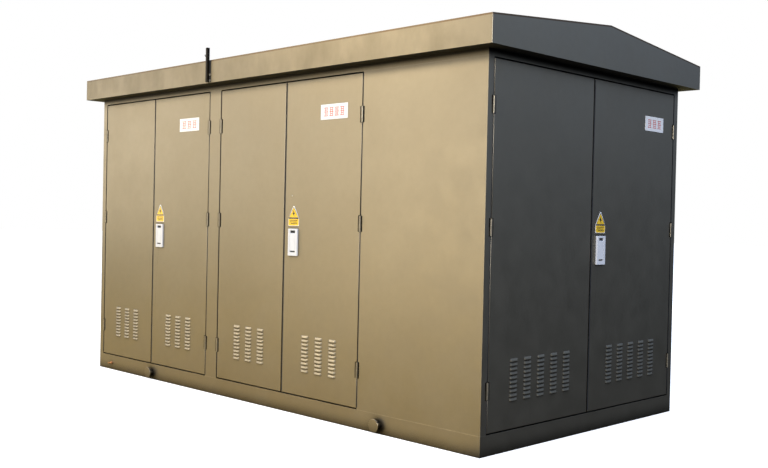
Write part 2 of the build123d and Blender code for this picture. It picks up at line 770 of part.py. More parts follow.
def transformer_tank():
    height = LID_Z - TANK_BOTTOM
    middle_z = (LID_Z + TANK_BOTTOM) / 2
    inside_x, inside_y = 2 * (TANK_HALF_X - TANK_WALL), 2 * (TANK_HALF_Y - TANK_WALL)
    with BuildPart() as tank:
        with Locations((TANK_X, 0, middle_z)):
            Box(2 * TANK_HALF_X, 2 * TANK_HALF_Y, height)
            with GridLocations(48, 0, 21, 1):
                Box(5, 2 * TANK_HALF_Y + 280, 700)
            with GridLocations(0, 48, 1, 9):
                Box(2 * TANK_HALF_X + 200, 5, 700)
        with Locations((TANK_X, 0, LID_Z - 5)):
            Box(2 * TANK_HALF_X + 70, 2 * TANK_HALF_Y + 70, 10)
        with Locations((TANK_X, 0, middle_z + TANK_WALL / 2)):
            Box(inside_x, inside_y, height - TANK_WALL, mode=Mode.SUBTRACT)
        with Locations(*[(TANK_X + side * 330, 0, (BASE_TOP + TANK_BOTTOM) / 2) for side in (-1, 1)]):
            Box(80, 2 * TANK_HALF_Y, TANK_BOTTOM - BASE_TOP)
    return tank.part


def transformer_lid():
    """Cover plate with oil filler, relief valve, tap changer knob and lifting eyes."""
    top = LID_Z + 12
    with BuildPart() as lid:
        with Locations((TANK_X, 0, LID_Z + 6)):
            Box(2 * TANK_HALF_X + 70, 2 * TANK_HALF_Y + 70, 12)
        with BuildSketch(Plane.XY.offset(top)):
            with Locations((TANK_X, -150), (TANK_X + 130, 150)):
                Circle(38)
        extrude(amount=70)
        with BuildSketch(Plane.XY.offset(top + 70)):
            with Locations((TANK_X, -150), (TANK_X + 130, 150)):
                Circle(48)
        extrude(amount=18)
        with Locations(*[(TANK_X + sx * 480, sy * 225, top + 30) for sx in (-1, 1) for sy in (-1, 1)]):
            Box(12, 60, 60)
            Cylinder(15, 40, rotation=(0, 90, 0), mode=Mode.SUBTRACT)
    return lid.part


def bushing(x, y, core_r, shed_r, sheds, top):
    """A ribbed porcelain bushing with a brass terminal, turned about its own axis."""
    base = LID_Z + 12
    terminal = 30
    body_top = top - terminal
    pitch = (body_top - base - 30) / sheds
    with BuildPart() as made:
        with Locations((x, y, (base + body_top) / 2)):
            Cylinder(core_r, body_top - base)
        with Locations((x, y, base + 10)):
            Cylinder(core_r + 18, 20)
        for shed in range(sheds):
            with Locations((x, y, base + 34 + (shed + 0.5) * pitch)):
                Cone(shed_r, core_r, 14)
        with Locations((x, y, top - terminal / 2)):
            Cylinder(10, terminal)
    return made.part


save(transformer_tank(), "transformer_tank")
save(transformer_lid(), "transformer_lid")
save(
    group(
        *[bushing(HV_BUSHING_X, y, 26, 48, 5, HV_BUSHING_TOP) for y in cable_ys],
        *[bushing(LV_BUSHING_X, y, 18, 30, 2, LV_BUSHING_TOP) for y in BUSBAR_YS],
    ),
    "transformer_bushings",
)


def core_and_windings():
    low, high = TANK_BOTTOM + 40, LID_Z - 120
    with BuildPart() as core:
        with Locations((TANK_X, 0, (low + high) / 2)):
            Box(860, 170, high - low)
            with GridLocations(290, 0, 2, 1):
                Box(145, 200, high - low - 320, mode=Mode.SUBTRACT)
        with Locations((TANK_X, 0, (low + high) / 2)):
            with GridLocations(290, 0, 3, 1):
                Cylinder(138, high - low - 340)
    return core.part


save(core_and_windings(), "core_and_windings")

# ---- LV switchboard: cabinet on legs, breakers, and busbars from the transformer ----
BOARD_X = (-1960, -660)
BOARD_BACK_Y = 300
BOARD_Z = (420, 1980)
MAIN_BREAKER_X = -1310
MAIN_BREAKER_Z = 1620
HANDLE_SHAFT_R = 8


def lv_switchboard():
    x0, x1 = BOARD_X
    z0, z1 = BOARD_Z
    middle = ((x0 + x1) / 2, (BOARD_FRONT_Y + BOARD_BACK_Y) / 2, (z0 + z1) / 2)
    with BuildPart() as cabinet:
        with Locations(middle):
            Box(x1 - x0, BOARD_BACK_Y - BOARD_FRONT_Y, z1 - z0)
            Box(x1 - x0 - 6, BOARD_BACK_Y - BOARD_FRONT_Y - 6, z1 - z0 - 6, mode=Mode.SUBTRACT)
        with Locations((middle[0], middle[1], z0)):
            Box(900, 240, 20, mode=Mode.SUBTRACT)
        with Locations((MAIN_BREAKER_X, BOARD_FRONT_Y - 30, MAIN_BREAKER_Z)):
            Box(260, 60, 300)
        with Locations(Location((MAIN_BREAKER_X, BOARD_FRONT_Y - 50, MAIN_BREAKER_Z), (90, 0, 0))):
            Cylinder(HANDLE_SHAFT_R + RUNNING, 30, mode=Mode.SUBTRACT)
        with Locations(*[(middle[0] + (i - 2.5) * 190, BOARD_FRONT_Y - 22, 1050) for i in range(6)]):
            Box(120, 44, 260)
        with Locations((x1, 0, BUSBAR_Z)):
            Box(20, 400, 110, mode=Mode.SUBTRACT)
    legs = [
        tube(x, x + 50, y, y + 50, BASE_TOP, z0)
        for x in (x0, x1 - 50) for y in (BOARD_FRONT_Y, BOARD_BACK_Y - 50)
    ]
    cross_beams = [
        tube(x, x + 50, -inner_y, inner_y, BASE_TOP - 50, BASE_TOP, along="Y")
        for x in (x0, x1 - 50)
    ]
    busbars = [lv_busbar(y) for y in BUSBAR_YS]
    return group(cabinet.part, *legs, *cross_beams, *busbars)


def lv_busbar(y):
    """A flat copper bar from a transformer terminal through the partition into the board."""
    with BuildPart() as bar:
        with BuildSketch(Plane.XZ.offset(-y - 4)):
            with BuildLine():
                Polyline(
                    (LV_BUSHING_X + 22, LV_BUSHING_TOP), (LV_BUSHING_X + 22, BUSBAR_Z + 30),
                    (BOARD_X[1] - 60, BUSBAR_Z + 30), (BOARD_X[1] - 60, BUSBAR_Z - 30),
                    (LV_BUSHING_X - 22, BUSBAR_Z - 30), (LV_BUSHING_X - 22, LV_BUSHING_TOP), close=True,
                )
            make_face()
        extrude(amount=8)
    return bar.part


def rotary_handle(length):
    """A round hub with a bar grip, on a shaft. Its axis is -Y and the shaft runs to Y = 30."""
    with BuildPart() as handle:
        with BuildSketch(Plane.XZ):
            Circle(34)
        extrude(amount=16)
        with BuildSketch(Plane.XZ.offset(16)):
            SlotOverall(length, 26, rotation=90)
        extrude(amount=22)
        fillet(handle.edges().group_by(Axis.Y)[0], 4)
        with BuildSketch(Plane.XZ):
            Circle(HANDLE_SHAFT_R)
        extrude(amount=-14)
    return handle.part


save(lv_switchboard(), "lv_switchboard")
save(
    Location((MAIN_BREAKER_X, BOARD_FRONT_Y - 60.5, MAIN_BREAKER_Z)) * rotary_handle(120),
    "lv_breaker_handle",
)

# ---- HV switchgear: cubicle on a plinth, and its rotary switch handle ----
GEAR_X = (1290, SWITCHGEAR_FRONT_X)
GEAR_HALF_Y = 600
GEAR_Z = (420, SWITCHGEAR_TOP)
SWITCH_Y = 0
SWITCH_Z = 1250


def hv_switchgear():
    x0, x1 = GEAR_X
    z0, z1 = GEAR_Z
    middle = ((x0 + x1) / 2, 0, (z0 + z1) / 2)
    with BuildPart() as cubicle:
        with Locations(middle):
            Box(x1 - x0, 2 * GEAR_HALF_Y, z1 - z0)
            Box(x1 - x0 - 6, 2 * GEAR_HALF_Y - 6, z1 - z0 - 6, mode=Mode.SUBTRACT)
        with Locations((middle[0], 0, z0)):
            Box(300, 1000, 20, mode=Mode.SUBTRACT)
        with Locations(*[(x1 + 6, y, 1250) for y in (-400, 0, 400)]):
            Box(12, 340, 420)
        with Locations(*[(x1 + 6, y, 700) for y in (-400, 0, 400)]):
            Box(12, 340, 400)
        with Locations(Location((x1, SWITCH_Y, SWITCH_Z), (0, 90, 0))):
            Cylinder(HANDLE_SHAFT_R + RUNNING, 40, mode=Mode.SUBTRACT)
        with Locations(*[(CABLE_END_X, y, z1 + 7.5) for y in cable_ys]):
            Cylinder(28, 15)
    legs = [
        tube(x, x + 60, y, y + 60, BASE_TOP, z0)
        for x in (x0, x1 - 60) for y in (-GEAR_HALF_Y, GEAR_HALF_Y - 60)
    ]
    cross_beams = [
        tube(x, x + 60, -inner_y, inner_y, BASE_TOP - 50, BASE_TOP, along="Y")
        for x in (x0, x1 - 60)
    ]
    return group(cubicle.part, *legs, *cross_beams)


# ---- HV cables: up from the bushings, through the partition and down into the switchgear ----
def hv_cable(y):
    with BuildPart() as cable:
        with BuildLine():
            FilletPolyline(
                (HV_BUSHING_X, y, HV_BUSHING_TOP),
                (HV_BUSHING_X, y, CABLE_RUN_Z),
                (CABLE_END_X, y, CABLE_RUN_Z),
                (CABLE_END_X, y, SWITCHGEAR_TOP + 15),
                radius=CABLE_BEND,
            )
        with BuildSketch(Plane.XY.offset(HV_BUSHING_TOP)):
            with Locations((HV_BUSHING_X, y)):
                Circle(CABLE_R)
        sweep()
    return cable.part


save(hv_switchgear(), "hv_switchgear")
save(group(*[hv_cable(y) for y in cable_ys]), "hv_cables")
save(
    Location((SWITCHGEAR_FRONT_X + 12.5, SWITCH_Y, SWITCH_Z), (0, 0, 90)) * rotary_handle(150),
    "hv_switch_handle",
)
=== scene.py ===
import json
import math

import bpy
import bmesh
from mathutils import Matrix, Vector


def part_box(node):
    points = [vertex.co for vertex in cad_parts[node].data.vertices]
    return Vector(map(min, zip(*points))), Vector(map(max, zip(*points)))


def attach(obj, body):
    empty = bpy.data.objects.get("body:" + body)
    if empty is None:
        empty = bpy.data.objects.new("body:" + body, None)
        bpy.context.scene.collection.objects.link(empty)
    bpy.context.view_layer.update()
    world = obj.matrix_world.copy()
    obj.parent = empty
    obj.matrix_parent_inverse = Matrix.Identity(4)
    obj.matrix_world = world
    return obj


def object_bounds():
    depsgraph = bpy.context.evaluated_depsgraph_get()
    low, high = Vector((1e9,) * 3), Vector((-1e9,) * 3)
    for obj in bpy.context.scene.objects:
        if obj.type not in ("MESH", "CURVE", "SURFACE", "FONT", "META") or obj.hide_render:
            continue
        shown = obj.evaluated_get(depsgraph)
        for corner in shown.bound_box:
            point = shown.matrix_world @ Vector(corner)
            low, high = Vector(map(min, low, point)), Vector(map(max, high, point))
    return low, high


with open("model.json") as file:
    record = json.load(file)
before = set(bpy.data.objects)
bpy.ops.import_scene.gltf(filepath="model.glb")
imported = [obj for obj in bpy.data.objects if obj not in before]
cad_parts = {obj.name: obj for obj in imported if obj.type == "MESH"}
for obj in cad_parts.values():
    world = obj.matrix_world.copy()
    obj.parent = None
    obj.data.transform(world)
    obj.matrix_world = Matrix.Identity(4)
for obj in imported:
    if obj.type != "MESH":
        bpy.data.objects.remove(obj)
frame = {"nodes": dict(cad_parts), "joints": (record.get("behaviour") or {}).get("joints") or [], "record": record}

cad_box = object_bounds()
NODES = frame["nodes"]
JOINTS = {j["name"]: j for j in frame["joints"]}
SCENE = bpy.context.scene
DOORS = ("lv_left", "lv_right", "tx_left", "tx_right", "hv_left", "hv_right")
ROOMS = ("lv", "tx", "hv")


# ---------------------------------------------------------------- materials

class Nodes:
    """A small helper to write node trees in a few lines."""

    def __init__(self, name):
        self.material = bpy.data.materials.new(name)
        self.material.use_nodes = True
        self.tree = self.material.node_tree
        self.shader = self.tree.nodes["Principled BSDF"]
        self.place = self.add("ShaderNodeTexCoord").outputs["Object"]

    def add(self, kind, **settings):
        node = self.tree.nodes.new(kind)
        for key, value in settings.items():
            setattr(node, key, value)
        return node

    def link(self, source, target):
        self.tree.links.new(source, target)

    def feed(self, value, socket):
        if hasattr(value, "links"):
            self.link(value, socket)
        else:
            socket.default_value = value

    def stretched(self, scale):
        node = self.add("ShaderNodeMapping")
        self.link(self.place, node.inputs["Vector"])
        node.inputs["Scale"].default_value = scale
        return node.outputs["Vector"]

    def noise(self, scale, detail=4.0, vector=None):
        node = self.add("ShaderNodeTexNoise")
        self.link(vector or self.place, node.inputs["Vector"])
        node.inputs["Scale"].default_value = scale
        node.inputs["Detail"].default_value = detail
        node.inputs["Roughness"].default_value = 0.55
        return node.outputs["Fac"]

    def ramp(self, value, low, high, out_low=0.0, out_high=1.0):
        node = self.add("ShaderNodeMapRange")
        node.clamp = True
        self.feed(value, node.inputs["Value"])
        node.inputs["From Min"].default_value = low
        node.inputs["From Max"].default_value = high
        node.inputs["To Min"].default_value = out_low
        node.inputs["To Max"].default_value = out_high
        return node.outputs["Result"]

    def math(self, operation, a, b=0.0):
        node = self.add("ShaderNodeMath", operation=operation)
        self.feed(a, node.inputs[0])
        self.feed(b, node.inputs[1])
        return node.outputs[0]

    def mix(self, fac, a, b):
        node = self.add("ShaderNodeMix", data_type="RGBA")
        self.feed(fac, node.inputs[0])
        self.feed(a if hasattr(a, "links") else (*a, 1.0), node.inputs[6])
        self.feed(b if hasattr(b, "links") else (*b, 1.0), node.inputs[7])
        return node.outputs[2]

    def axis(self, which):
        node = self.add("ShaderNodeSeparateXYZ")
        self.link(self.place, node.inputs[0])
        return node.outputs[which]

    def facing(self):
        """The three parts of the face's own normal."""
        split = self.add("ShaderNodeSeparateXYZ")
        self.link(self.add("ShaderNodeNewGeometry").outputs["True Normal"], split.inputs[0])
        return split.outputs

    def edges(self, radius):
        """1 along convex and concave edges, from how far a rounded normal leaves the true one."""
        bevel = self.add("ShaderNodeBevel", samples=4)
        bevel.inputs["Radius"].default_value = radius
        geometry = self.add("ShaderNodeNewGeometry")
        dot = self.add("ShaderNodeVectorMath", operation="DOT_PRODUCT")
        self.link(bevel.outputs["Normal"], dot.inputs[0])
        self.link(geometry.outputs["True Normal"], dot.inputs[1])
        return self.ramp(self.math("SUBTRACT", 1.0, dot.outputs["Value"]), 0.01, 0.12)

    def bump(self, height, strength, distance):
        node = self.add("ShaderNodeBump")
        node.inputs["Strength"].default_value = strength
        node.inputs["Distance"].default_value = distance
        self.link(height, node.inputs["Height"])
        previous = self.shader.inputs["Normal"].links
        if previous:
            self.link(previous[0].from_socket, node.inputs["Normal"])
        self.link(node.outputs["Normal"], self.shader.inputs["Normal"])

    def finish(self, color, roughness, metallic=0.0):
        color = color if hasattr(color, "links") else (*color, 1.0)
        self.feed(color, self.shader.inputs["Base Color"])
        self.feed(roughness, self.shader.inputs["Roughness"])
        if not self.shader.inputs["Metallic"].links:
            self.shader.inputs["Metallic"].default_value = metallic
        return self.material


BRONZE = (0.290, 0.252, 0.184)
BRONZE_TINT = (0.308, 0.270, 0.200)
# the lighter edge colour: worn paint, and a painted highlight along the edges
BRONZE_WORN_AND_LIT = (0.60, 0.53, 0.40)
DUST = (0.23, 0.19, 0.13)
# near black, for the painted shade in gaps, round hinges and under the eaves
PAINTED_SHADE = (0.012, 0.010, 0.008)
RIDGE, ROOF_SLOPE = 2.575, 0.0932
# the walls are painted darker between these heights, as the shade of the eaves
EAVES_LOW, EAVES_HIGH = 2.256, 2.290


def shaded(color, factor):
    return tuple(c * factor for c in color)


def roof_weathering_and_shade(n, base, roughness, metallic):
    """A thin dark brown line under the roof's top edge, a near-black underside painted as shade, a dusty top and
    stained fascias.
    """
    facing = n.facing()
    # a thin dark brown line painted just under the roof's top edge, on upright faces
    fall = n.math("MULTIPLY", n.math("ABSOLUTE", n.axis(1)), ROOF_SLOPE)
    below_edge = n.math("SUBTRACT", n.math("SUBTRACT", RIDGE, fall), n.axis(2))
    upright = n.ramp(n.math("ABSOLUTE", facing[2]), 0.3, 0.5, 1.0, 0.0)
    top_edge_line = n.math("MULTIPLY", n.ramp(below_edge, 0.009, 0.012, 1.0, 0.0), upright)
    base = n.mix(n.math("MULTIPLY", top_edge_line, 0.8), base, (0.13, 0.07, 0.032))
    # downward faces are painted near black: painted shade under the eaves
    soffit_shade = n.ramp(facing[2], -0.7, -0.5, 1.0, 0.0)
    base = n.mix(soffit_shade, base, (0.004, 0.004, 0.004))
    upper = n.ramp(facing[2], 0.7, 0.9)
    settled = n.ramp(n.noise(4.5, 6.0), 0.3, 0.7, 0.35, 0.75)
    base = n.mix(n.math("MULTIPLY", upper, settled), base, (0.15, 0.135, 0.11))
    matt = n.math("MULTIPLY", n.math("MAXIMUM", upper, soffit_shade), 0.32)
    dull = n.math("MAXIMUM", soffit_shade, n.math("MULTIPLY", upper, 0.8))
    n.link(n.ramp(dull, 0.0, 1.0, metallic, 0.0), n.shader.inputs["Metallic"])
    stains = n.ramp(n.noise(2.6, 5.0, n.stretched((2.2, 2.2, 1.2))), 0.35, 0.7, 0.25, 0.75)
    base = n.mix(n.math("MULTIPLY", stains, n.math("ABSOLUTE", facing[1])), base,
                 (0.17, 0.145, 0.10))
    return base, n.math("ADD", roughness, matt)


def coated(name, color, tint, rough=(0.34, 0.46), metallic=0.0, wear=None, dust=0.0, peel=0.12,
           waves=0.0, roof=False, grime=0.0):
    """Sprayed paint on sheet metal: cloudy colour, orange peel, edges lightened as worn paint and as a painted
    highlight, dust, and painted shade in gaps and under the eaves.
    """
    n = Nodes(name)
    base = n.mix(n.ramp(n.noise(1.3, 5.0), 0.3, 0.7), color, tint)
    base = n.mix(n.ramp(n.noise(22.0, 4.0), 0.35, 0.75, 0.0, 0.18), base, shaded(color, 0.8))
    if wear:
        # edges are lightened, as worn paint and as a painted highlight along them
        patches = n.ramp(n.noise(14.0, 4.0), 0.35, 0.65, 0.2, 0.6)
        base = n.mix(n.math("MULTIPLY", n.edges(0.0045), patches), base, wear)
    roughness = n.ramp(n.noise(7.0, 6.0), 0.3, 0.75, *rough)
    if dust:
        # settled low down with a ragged upper edge, and thin runs above it
        streaks = n.noise(3.0, 5.0, n.stretched((9.0, 9.0, 0.5)))
        ragged = n.math("SUBTRACT", n.axis(2), n.ramp(streaks, 0.3, 0.7, 0.0, 0.35))
        low = n.ramp(ragged, 0.0, 0.32, dust, 0.0)
        runs = n.ramp(streaks, 0.52, 0.8, 0.0, dust * 0.3)
        base = n.mix(n.math("MAXIMUM", low, runs), base, DUST)
    if roof:
        base, roughness = roof_weathering_and_shade(n, base, roughness, metallic)
    if grime:
        # painted shade in gaps and round hinges, and a band of painted shade at the top of the walls under the
        # eaves
        occlusion = n.add("ShaderNodeAmbientOcclusion", samples=6)
        occlusion.inputs["Distance"].default_value = grime
        crevice_shade = n.ramp(occlusion.outputs["AO"], 0.42, 0.93, 0.97, 0.0)
        eaves = n.ramp(n.axis(2), EAVES_LOW, EAVES_HIGH, 0.0, 0.97)
        base = n.mix(n.math("MAXIMUM", crevice_shade, eaves), base, PAINTED_SHADE)
    n.bump(n.noise(420.0, 2.0), peel, 0.0004)
    if waves:
        n.bump(n.noise(1.9, 2.0), waves, 0.02)
    return n.finish(base, roughness, metallic)


def bronze(name, color=BRONZE, tint=BRONZE_TINT, rough=(0.38, 0.46), metallic=0.95, **more):
    return coated(name, color, tint, rough=rough, metallic=metallic, **more)


def plated(name, color, rough, metallic, spangle=0.0, stain=(0.2, 0.17, 0.13)):
    """Bare or plated metal, with fine scratches, stains and, if galvanised, its spangle."""
    n = Nodes(name)
    base = n.mix(n.ramp(n.noise(35.0, 5.0), 0.45, 0.8, 0.0, 0.45), color, stain)
    if spangle:
        cells = n.add("ShaderNodeTexVoronoi")
        n.link(n.place, cells.inputs["Vector"])
        cells.inputs["Scale"].default_value = spangle
        grey = n.ramp(cells.outputs["Color"], 0.0, 1.0, 0.0, 0.4)
        base = n.mix(grey, base, shaded(color, 1.35))
    roughness = n.ramp(n.noise(90.0, 4.0), 0.3, 0.7, *rough)
    n.bump(n.noise(300.0, 4.0, n.stretched((1.0, 1.0, 6.0))), 0.08, 0.0003)
    return n.finish(base, roughness, metallic)


def moulded(name, color, rough=(0.4, 0.6), coat=0.0):
    """Plastic, rubber or porcelain: a faint mottle, dusty patches, fine moulded grain."""
    n = Nodes(name)
    base = n.mix(n.ramp(n.noise(18.0, 4.0), 0.3, 0.8, 0.0, 0.24), color, shaded(color, 0.6))
    base = n.mix(n.ramp(n.noise(6.0, 5.0), 0.55, 0.85, 0.0, 0.12), base, (0.3, 0.27, 0.22))
    roughness = n.ramp(n.noise(40.0, 4.0), 0.3, 0.7, *rough)
    n.bump(n.noise(650.0, 2.0), 0.15, 0.0003)
    n.shader.inputs["Coat Weight"].default_value = coat
    return n.finish(base, roughness)


def enamel(name, color, fade):
    """Printed or enamelled sign faces: flat colour, slightly faded and scuffed."""
    n = Nodes(name)
    base = n.mix(n.ramp(n.noise(30.0, 5.0), 0.5, 0.85, 0.0, 0.25), color, fade)
    base = n.mix(n.ramp(n.noise(9.0, 4.0), 0.45, 0.8, 0.0, 0.12), base, shaded(color, 0.7))
    roughness = n.ramp(n.noise(50.0, 3.0), 0.3, 0.7, 0.22, 0.4)
    n.bump(n.noise(500.0, 2.0), 0.06, 0.0002)
    return n.finish(base, roughness)


def woven_mesh():
    """Dark insect mesh: two crossed wire bands as colour and bump."""
    n = Nodes("insect_mesh")
    bands = []
    for scale in ((1.0, 1.0, 0.0), (0.0, 0.0, 1.0)):
        wave = n.add("ShaderNodeTexWave", wave_type="BANDS", bands_direction="DIAGONAL")
        n.link(n.stretched(scale), wave.inputs["Vector"])
        wave.inputs["Scale"].default_value = 60.0
        bands.append(wave.outputs["Fac"])
    wires = n.math("MAXIMUM", *bands)
    color = n.mix(n.ramp(wires, 0.55, 0.8), (0.006, 0.006, 0.006), (0.09, 0.09, 0.085))
    color = n.mix(n.ramp(n.noise(12.0), 0.5, 0.8, 0.0, 0.3), color, (0.12, 0.1, 0.07))
    n.bump(wires, 0.5, 0.0008)
    return n.finish(color, n.ramp(n.noise(40.0), 0.3, 0.7, 0.5, 0.7), 0.4)


LAMP_GLOSS = (0.1, 0.2)
MAT = {
    "body_paint": bronze("bronze_paint", wear=BRONZE_WORN_AND_LIT, dust=0.03, waves=0.05, grime=0.09),
    # the hinges' copy of the paint has a shorter reach of painted shade, so the barrels stay as bright as the
    # doors
    "hinge_paint": bronze("hinge_copy_with_less_shade", BRONZE_TINT, BRONZE, rough=(0.38, 0.48),
                          wear=(0.42, 0.37, 0.28), grime=0.03),
    "roof_paint": bronze("bronze_roof_paint", wear=BRONZE_WORN_AND_LIT, waves=0.05, roof=True),
    "hood_paint": bronze("bronze_louvre_paint", (0.29, 0.252, 0.184), (0.31, 0.272, 0.2),
                         rough=(0.42, 0.52), metallic=0.9, dust=0.02, grime=0.03),
    # a darker copy of the louvre paint for the right end's leaves, as painted shade
    "shaded_louvre_paint_for_end": bronze("shaded_copy_of_louvre_paint", (0.19, 0.166, 0.120),
                             (0.20, 0.175, 0.127), rough=(0.46, 0.56), metallic=0.9,
                             grime=0.03),
    "galvanised": plated("galvanised_steel", (0.42, 0.43, 0.44), (0.35, 0.5), 0.75,
                         spangle=60.0),
    "bolt_steel": plated("zinc_bolt_steel", (0.55, 0.54, 0.50), (0.28, 0.42), 0.9),
    "brass": plated("copper_stud", (0.72, 0.42, 0.24), (0.25, 0.4), 0.95,
                    stain=(0.30, 0.2, 0.12)),
    "copper": plated("copper_busbar", (0.70, 0.36, 0.20), (0.28, 0.42), 0.95,
                     stain=(0.32, 0.17, 0.1)),
    "core_steel": plated("core_steel", (0.16, 0.15, 0.15), (0.4, 0.6), 0.6),
    "lock_metal": coated("white_lock_enamel", (0.74, 0.76, 0.80), (0.66, 0.68, 0.73),
                         rough=(0.28, 0.4), wear=(0.5, 0.5, 0.5), peel=0.08),
    "tank_paint": coated("tank_green_grey", (0.10, 0.135, 0.125), (0.12, 0.155, 0.14),
                         rough=(0.25, 0.4), wear=(0.3, 0.3, 0.28), dust=0.12),
    "cabinet_paint": coated("cabinet_light_grey", (0.56, 0.57, 0.54), (0.60, 0.61, 0.58),
                            rough=(0.35, 0.5), wear=(0.36, 0.36, 0.35), peel=0.2),
    "sign_plate": enamel("sign_white_enamel", (0.86, 0.87, 0.88), (0.74, 0.74, 0.72)),
    "red_print": enamel("red_print", (0.62, 0.055, 0.035), (0.7, 0.35, 0.3)),
    "yellow_print": enamel("yellow_print", (0.90, 0.58, 0.03), (0.9, 0.66, 0.2)),
    "black_print": enamel("black_print", (0.02, 0.018, 0.015), (0.12, 0.1, 0.08)),
    "porcelain": moulded("brown_porcelain", (0.16, 0.05, 0.025), (0.12, 0.22), coat=0.6),
    "cable_black": moulded("cable_rubber", (0.018, 0.018, 0.02), (0.5, 0.7)),
    "handle_plastic": moulded("red_handle_plastic", (0.42, 0.03, 0.02), (0.35, 0.5)),
    # black rubber for the door seals, also used as painted shade in the door gaps and beside the roof post
    "black_rubber_and_shade": moulded("black_rubber_and_shade", (0.02, 0.02, 0.02), (0.6, 0.8)),
    "pocket": moulded("dark_pocket_lining", (0.012, 0.012, 0.014), (0.5, 0.7)),
    "case": moulded("breaker_case", (0.06, 0.065, 0.07), (0.4, 0.55)),
    "lamp_red": moulded("lamp_red", (0.5, 0.02, 0.01), LAMP_GLOSS, coat=0.8),
    "lamp_green": moulded("lamp_green", (0.02, 0.32, 0.06), LAMP_GLOSS, coat=0.8),
    "lamp_amber": moulded("lamp_amber", (0.6, 0.25, 0.01), LAMP_GLOSS, coat=0.8),
    "gauge_glass": moulded("gauge_glass", (0.75, 0.76, 0.74), (0.05, 0.12), coat=0.9),
    "mesh": woven_mesh(),
}


# ---------------------------------------------------------------- mesh helpers

class Frame:
    """A local frame: u runs along the sheet, o points out of it, z is up."""

    def __init__(self, origin, u, o):
        self.origin, self.u, self.o = Vector(origin), Vector(u), Vector(o)

    def at(self, u, o, z):
        return self.origin + self.u * u + self.o * o + Vector((0, 0, z))


class Mesh:
    """Collects points and faces in the shared frame, then becomes one piece."""

    def __init__(self):
        self.points, self.faces, self.smooth = [], [], []

    def face(self, points):
        start = len(self.points)
        self.points += [Vector(p) for p in points]
        self.faces.append(tuple(range(start, start + len(points))))
        self.smooth.append(False)

    def grid(self, rows, smooth=True, closed=False):
        start = len(self.points)
        across = len(rows[0])
        for row in rows:
            self.points += [Vector(p) for p in row]
        for r in range(len(rows) - 1):
            for c in range(across if closed else across - 1):
                a = start + r * across + c
                b = start + r * across + (c + 1) % across
                self.faces.append((a, b, b + across, a + across))
                self.smooth.append(smooth)

    def extruded(self, f, outline, o0, o1):
        """A flat outline of (u, z) points between two depths, with closed sides."""
        front = [f.at(u, o1, z) for u, z in outline]
        back = [f.at(u, o0, z) for u, z in outline]
        self.face(front)
        self.face(back[::-1])
        for i in range(len(outline)):
            k = (i + 1) % len(outline)
            self.face([front[i], back[i], back[k], front[k]])

    def slab(self, f, u0, u1, z0, z1, o0, o1):
        self.extruded(f, [(u0, z0), (u1, z0), (u1, z1), (u0, z1)], o0, o1)

    def turned(self, centre, axis, profile, sides=24, smooth=True):
        """A profile of (distance along the axis, radius) pairs turned about it."""
        axis = Vector(axis).normalized()
        side = axis.orthogonal().normalized()
        third = axis.cross(side)
        rows = []
        for along, radius in profile:
            row = []
            for k in range(sides):
                angle = 2 * math.pi * k / sides
                spoke = side * math.cos(angle) + third * math.sin(angle)
                row.append(Vector(centre) + axis * along + spoke * max(radius, 1e-5))
            rows.append(row)
        self.grid(rows, smooth, closed=True)

    def hexagon(self, centre, axis, radius, height):
        """A hexagon head with a chamfered top and a flat washer under it."""
        washer, rim = height * 0.25, radius * 1.45
        self.turned(centre, axis, [(0, 0), (0, rim), (washer, rim), (washer, 0)], 20,
                    smooth=False)
        self.turned(centre, axis, [(washer, 0), (washer, radius), (height * 0.85, radius),
                                   (height, radius * 0.86), (height, 0)], 6, smooth=False)

    def piece(self, name, body, material, slot=None, bevel=0.0):
        data = bpy.data.meshes.new(name)
        data.from_pydata(self.points, [], self.faces)
        data.polygons.foreach_set("use_smooth", self.smooth)
        work = bmesh.new()
        work.from_mesh(data)
        bmesh.ops.remove_doubles(work, verts=work.verts, dist=1e-6)
        bmesh.ops.dissolve_degenerate(work, edges=work.edges, dist=1e-6)
        bmesh.ops.recalc_face_normals(work, faces=work.faces)
        work.to_mesh(data)
        work.free()
        item = bpy.data.objects.new(name, data)
        SCENE.collection.objects.link(item)
        data.materials.append(MAT[material])
        if bevel:
            rounded_edges(item, bevel)
        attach(item, body)
        return item


def rounded_edges(item, width):
    rolled = item.modifiers.new("edges", "BEVEL")
    rolled.width = width
    rolled.segments = 2
    rolled.limit_method = "ANGLE"
    return rolled


# ---------------------------------------------------------------- CAD nodes: materials, soft edges

for entry in frame["record"]["subparts"]:
    item = NODES[entry["node"]]
    item.data.materials.clear()
    item.data.materials.append(MAT[entry["material_slot"]])
NODES["roof_shell"].data.materials[0] = MAT["roof_paint"]
for name, item in NODES.items():
    if "hinge" in name:
        item.data.materials[0] = MAT["hinge_paint"]


def softened(node, width):
    """Rolls the sharp edges of a carried-over CAD node."""
    item = NODES[node]
    item.modifiers.new("weld", "WELD").merge_threshold = 1e-5
    rolled = rounded_edges(item, width)
    rolled.angle_limit = math.radians(40)
    rolled.use_clamp_overlap = True


for node in ("front_wall", "right_end_wall", "rear_wall"):
    softened(node, 0.0010)
softened("base_frame", 0.0022)
softened("roof_post", 0.0012)
for door in DOORS:
    softened(f"{door}_door_skin", 0.0012)


# ---------------------------------------------------------------- doors

HINGE_TO_EDGE = 0.003           # from the hinge axis to the leaf's near edge
HOOD_HALF, HOOD_ROUND, HOOD_RISE, HOOD_LAP = 0.0385, 0.012, 0.0079, 0.0012
HOOD_COLUMNS, HOOD_ROWS = 16, 6
LOUVRE_HEIGHT, LOUVRE_PITCH = 0.017, 0.0255
LOW_LOUVRES, HIGH_LOUVRES = 0.537, 2.150
MESH_FOOT, MESH_HEAD = 0.20, 0.552


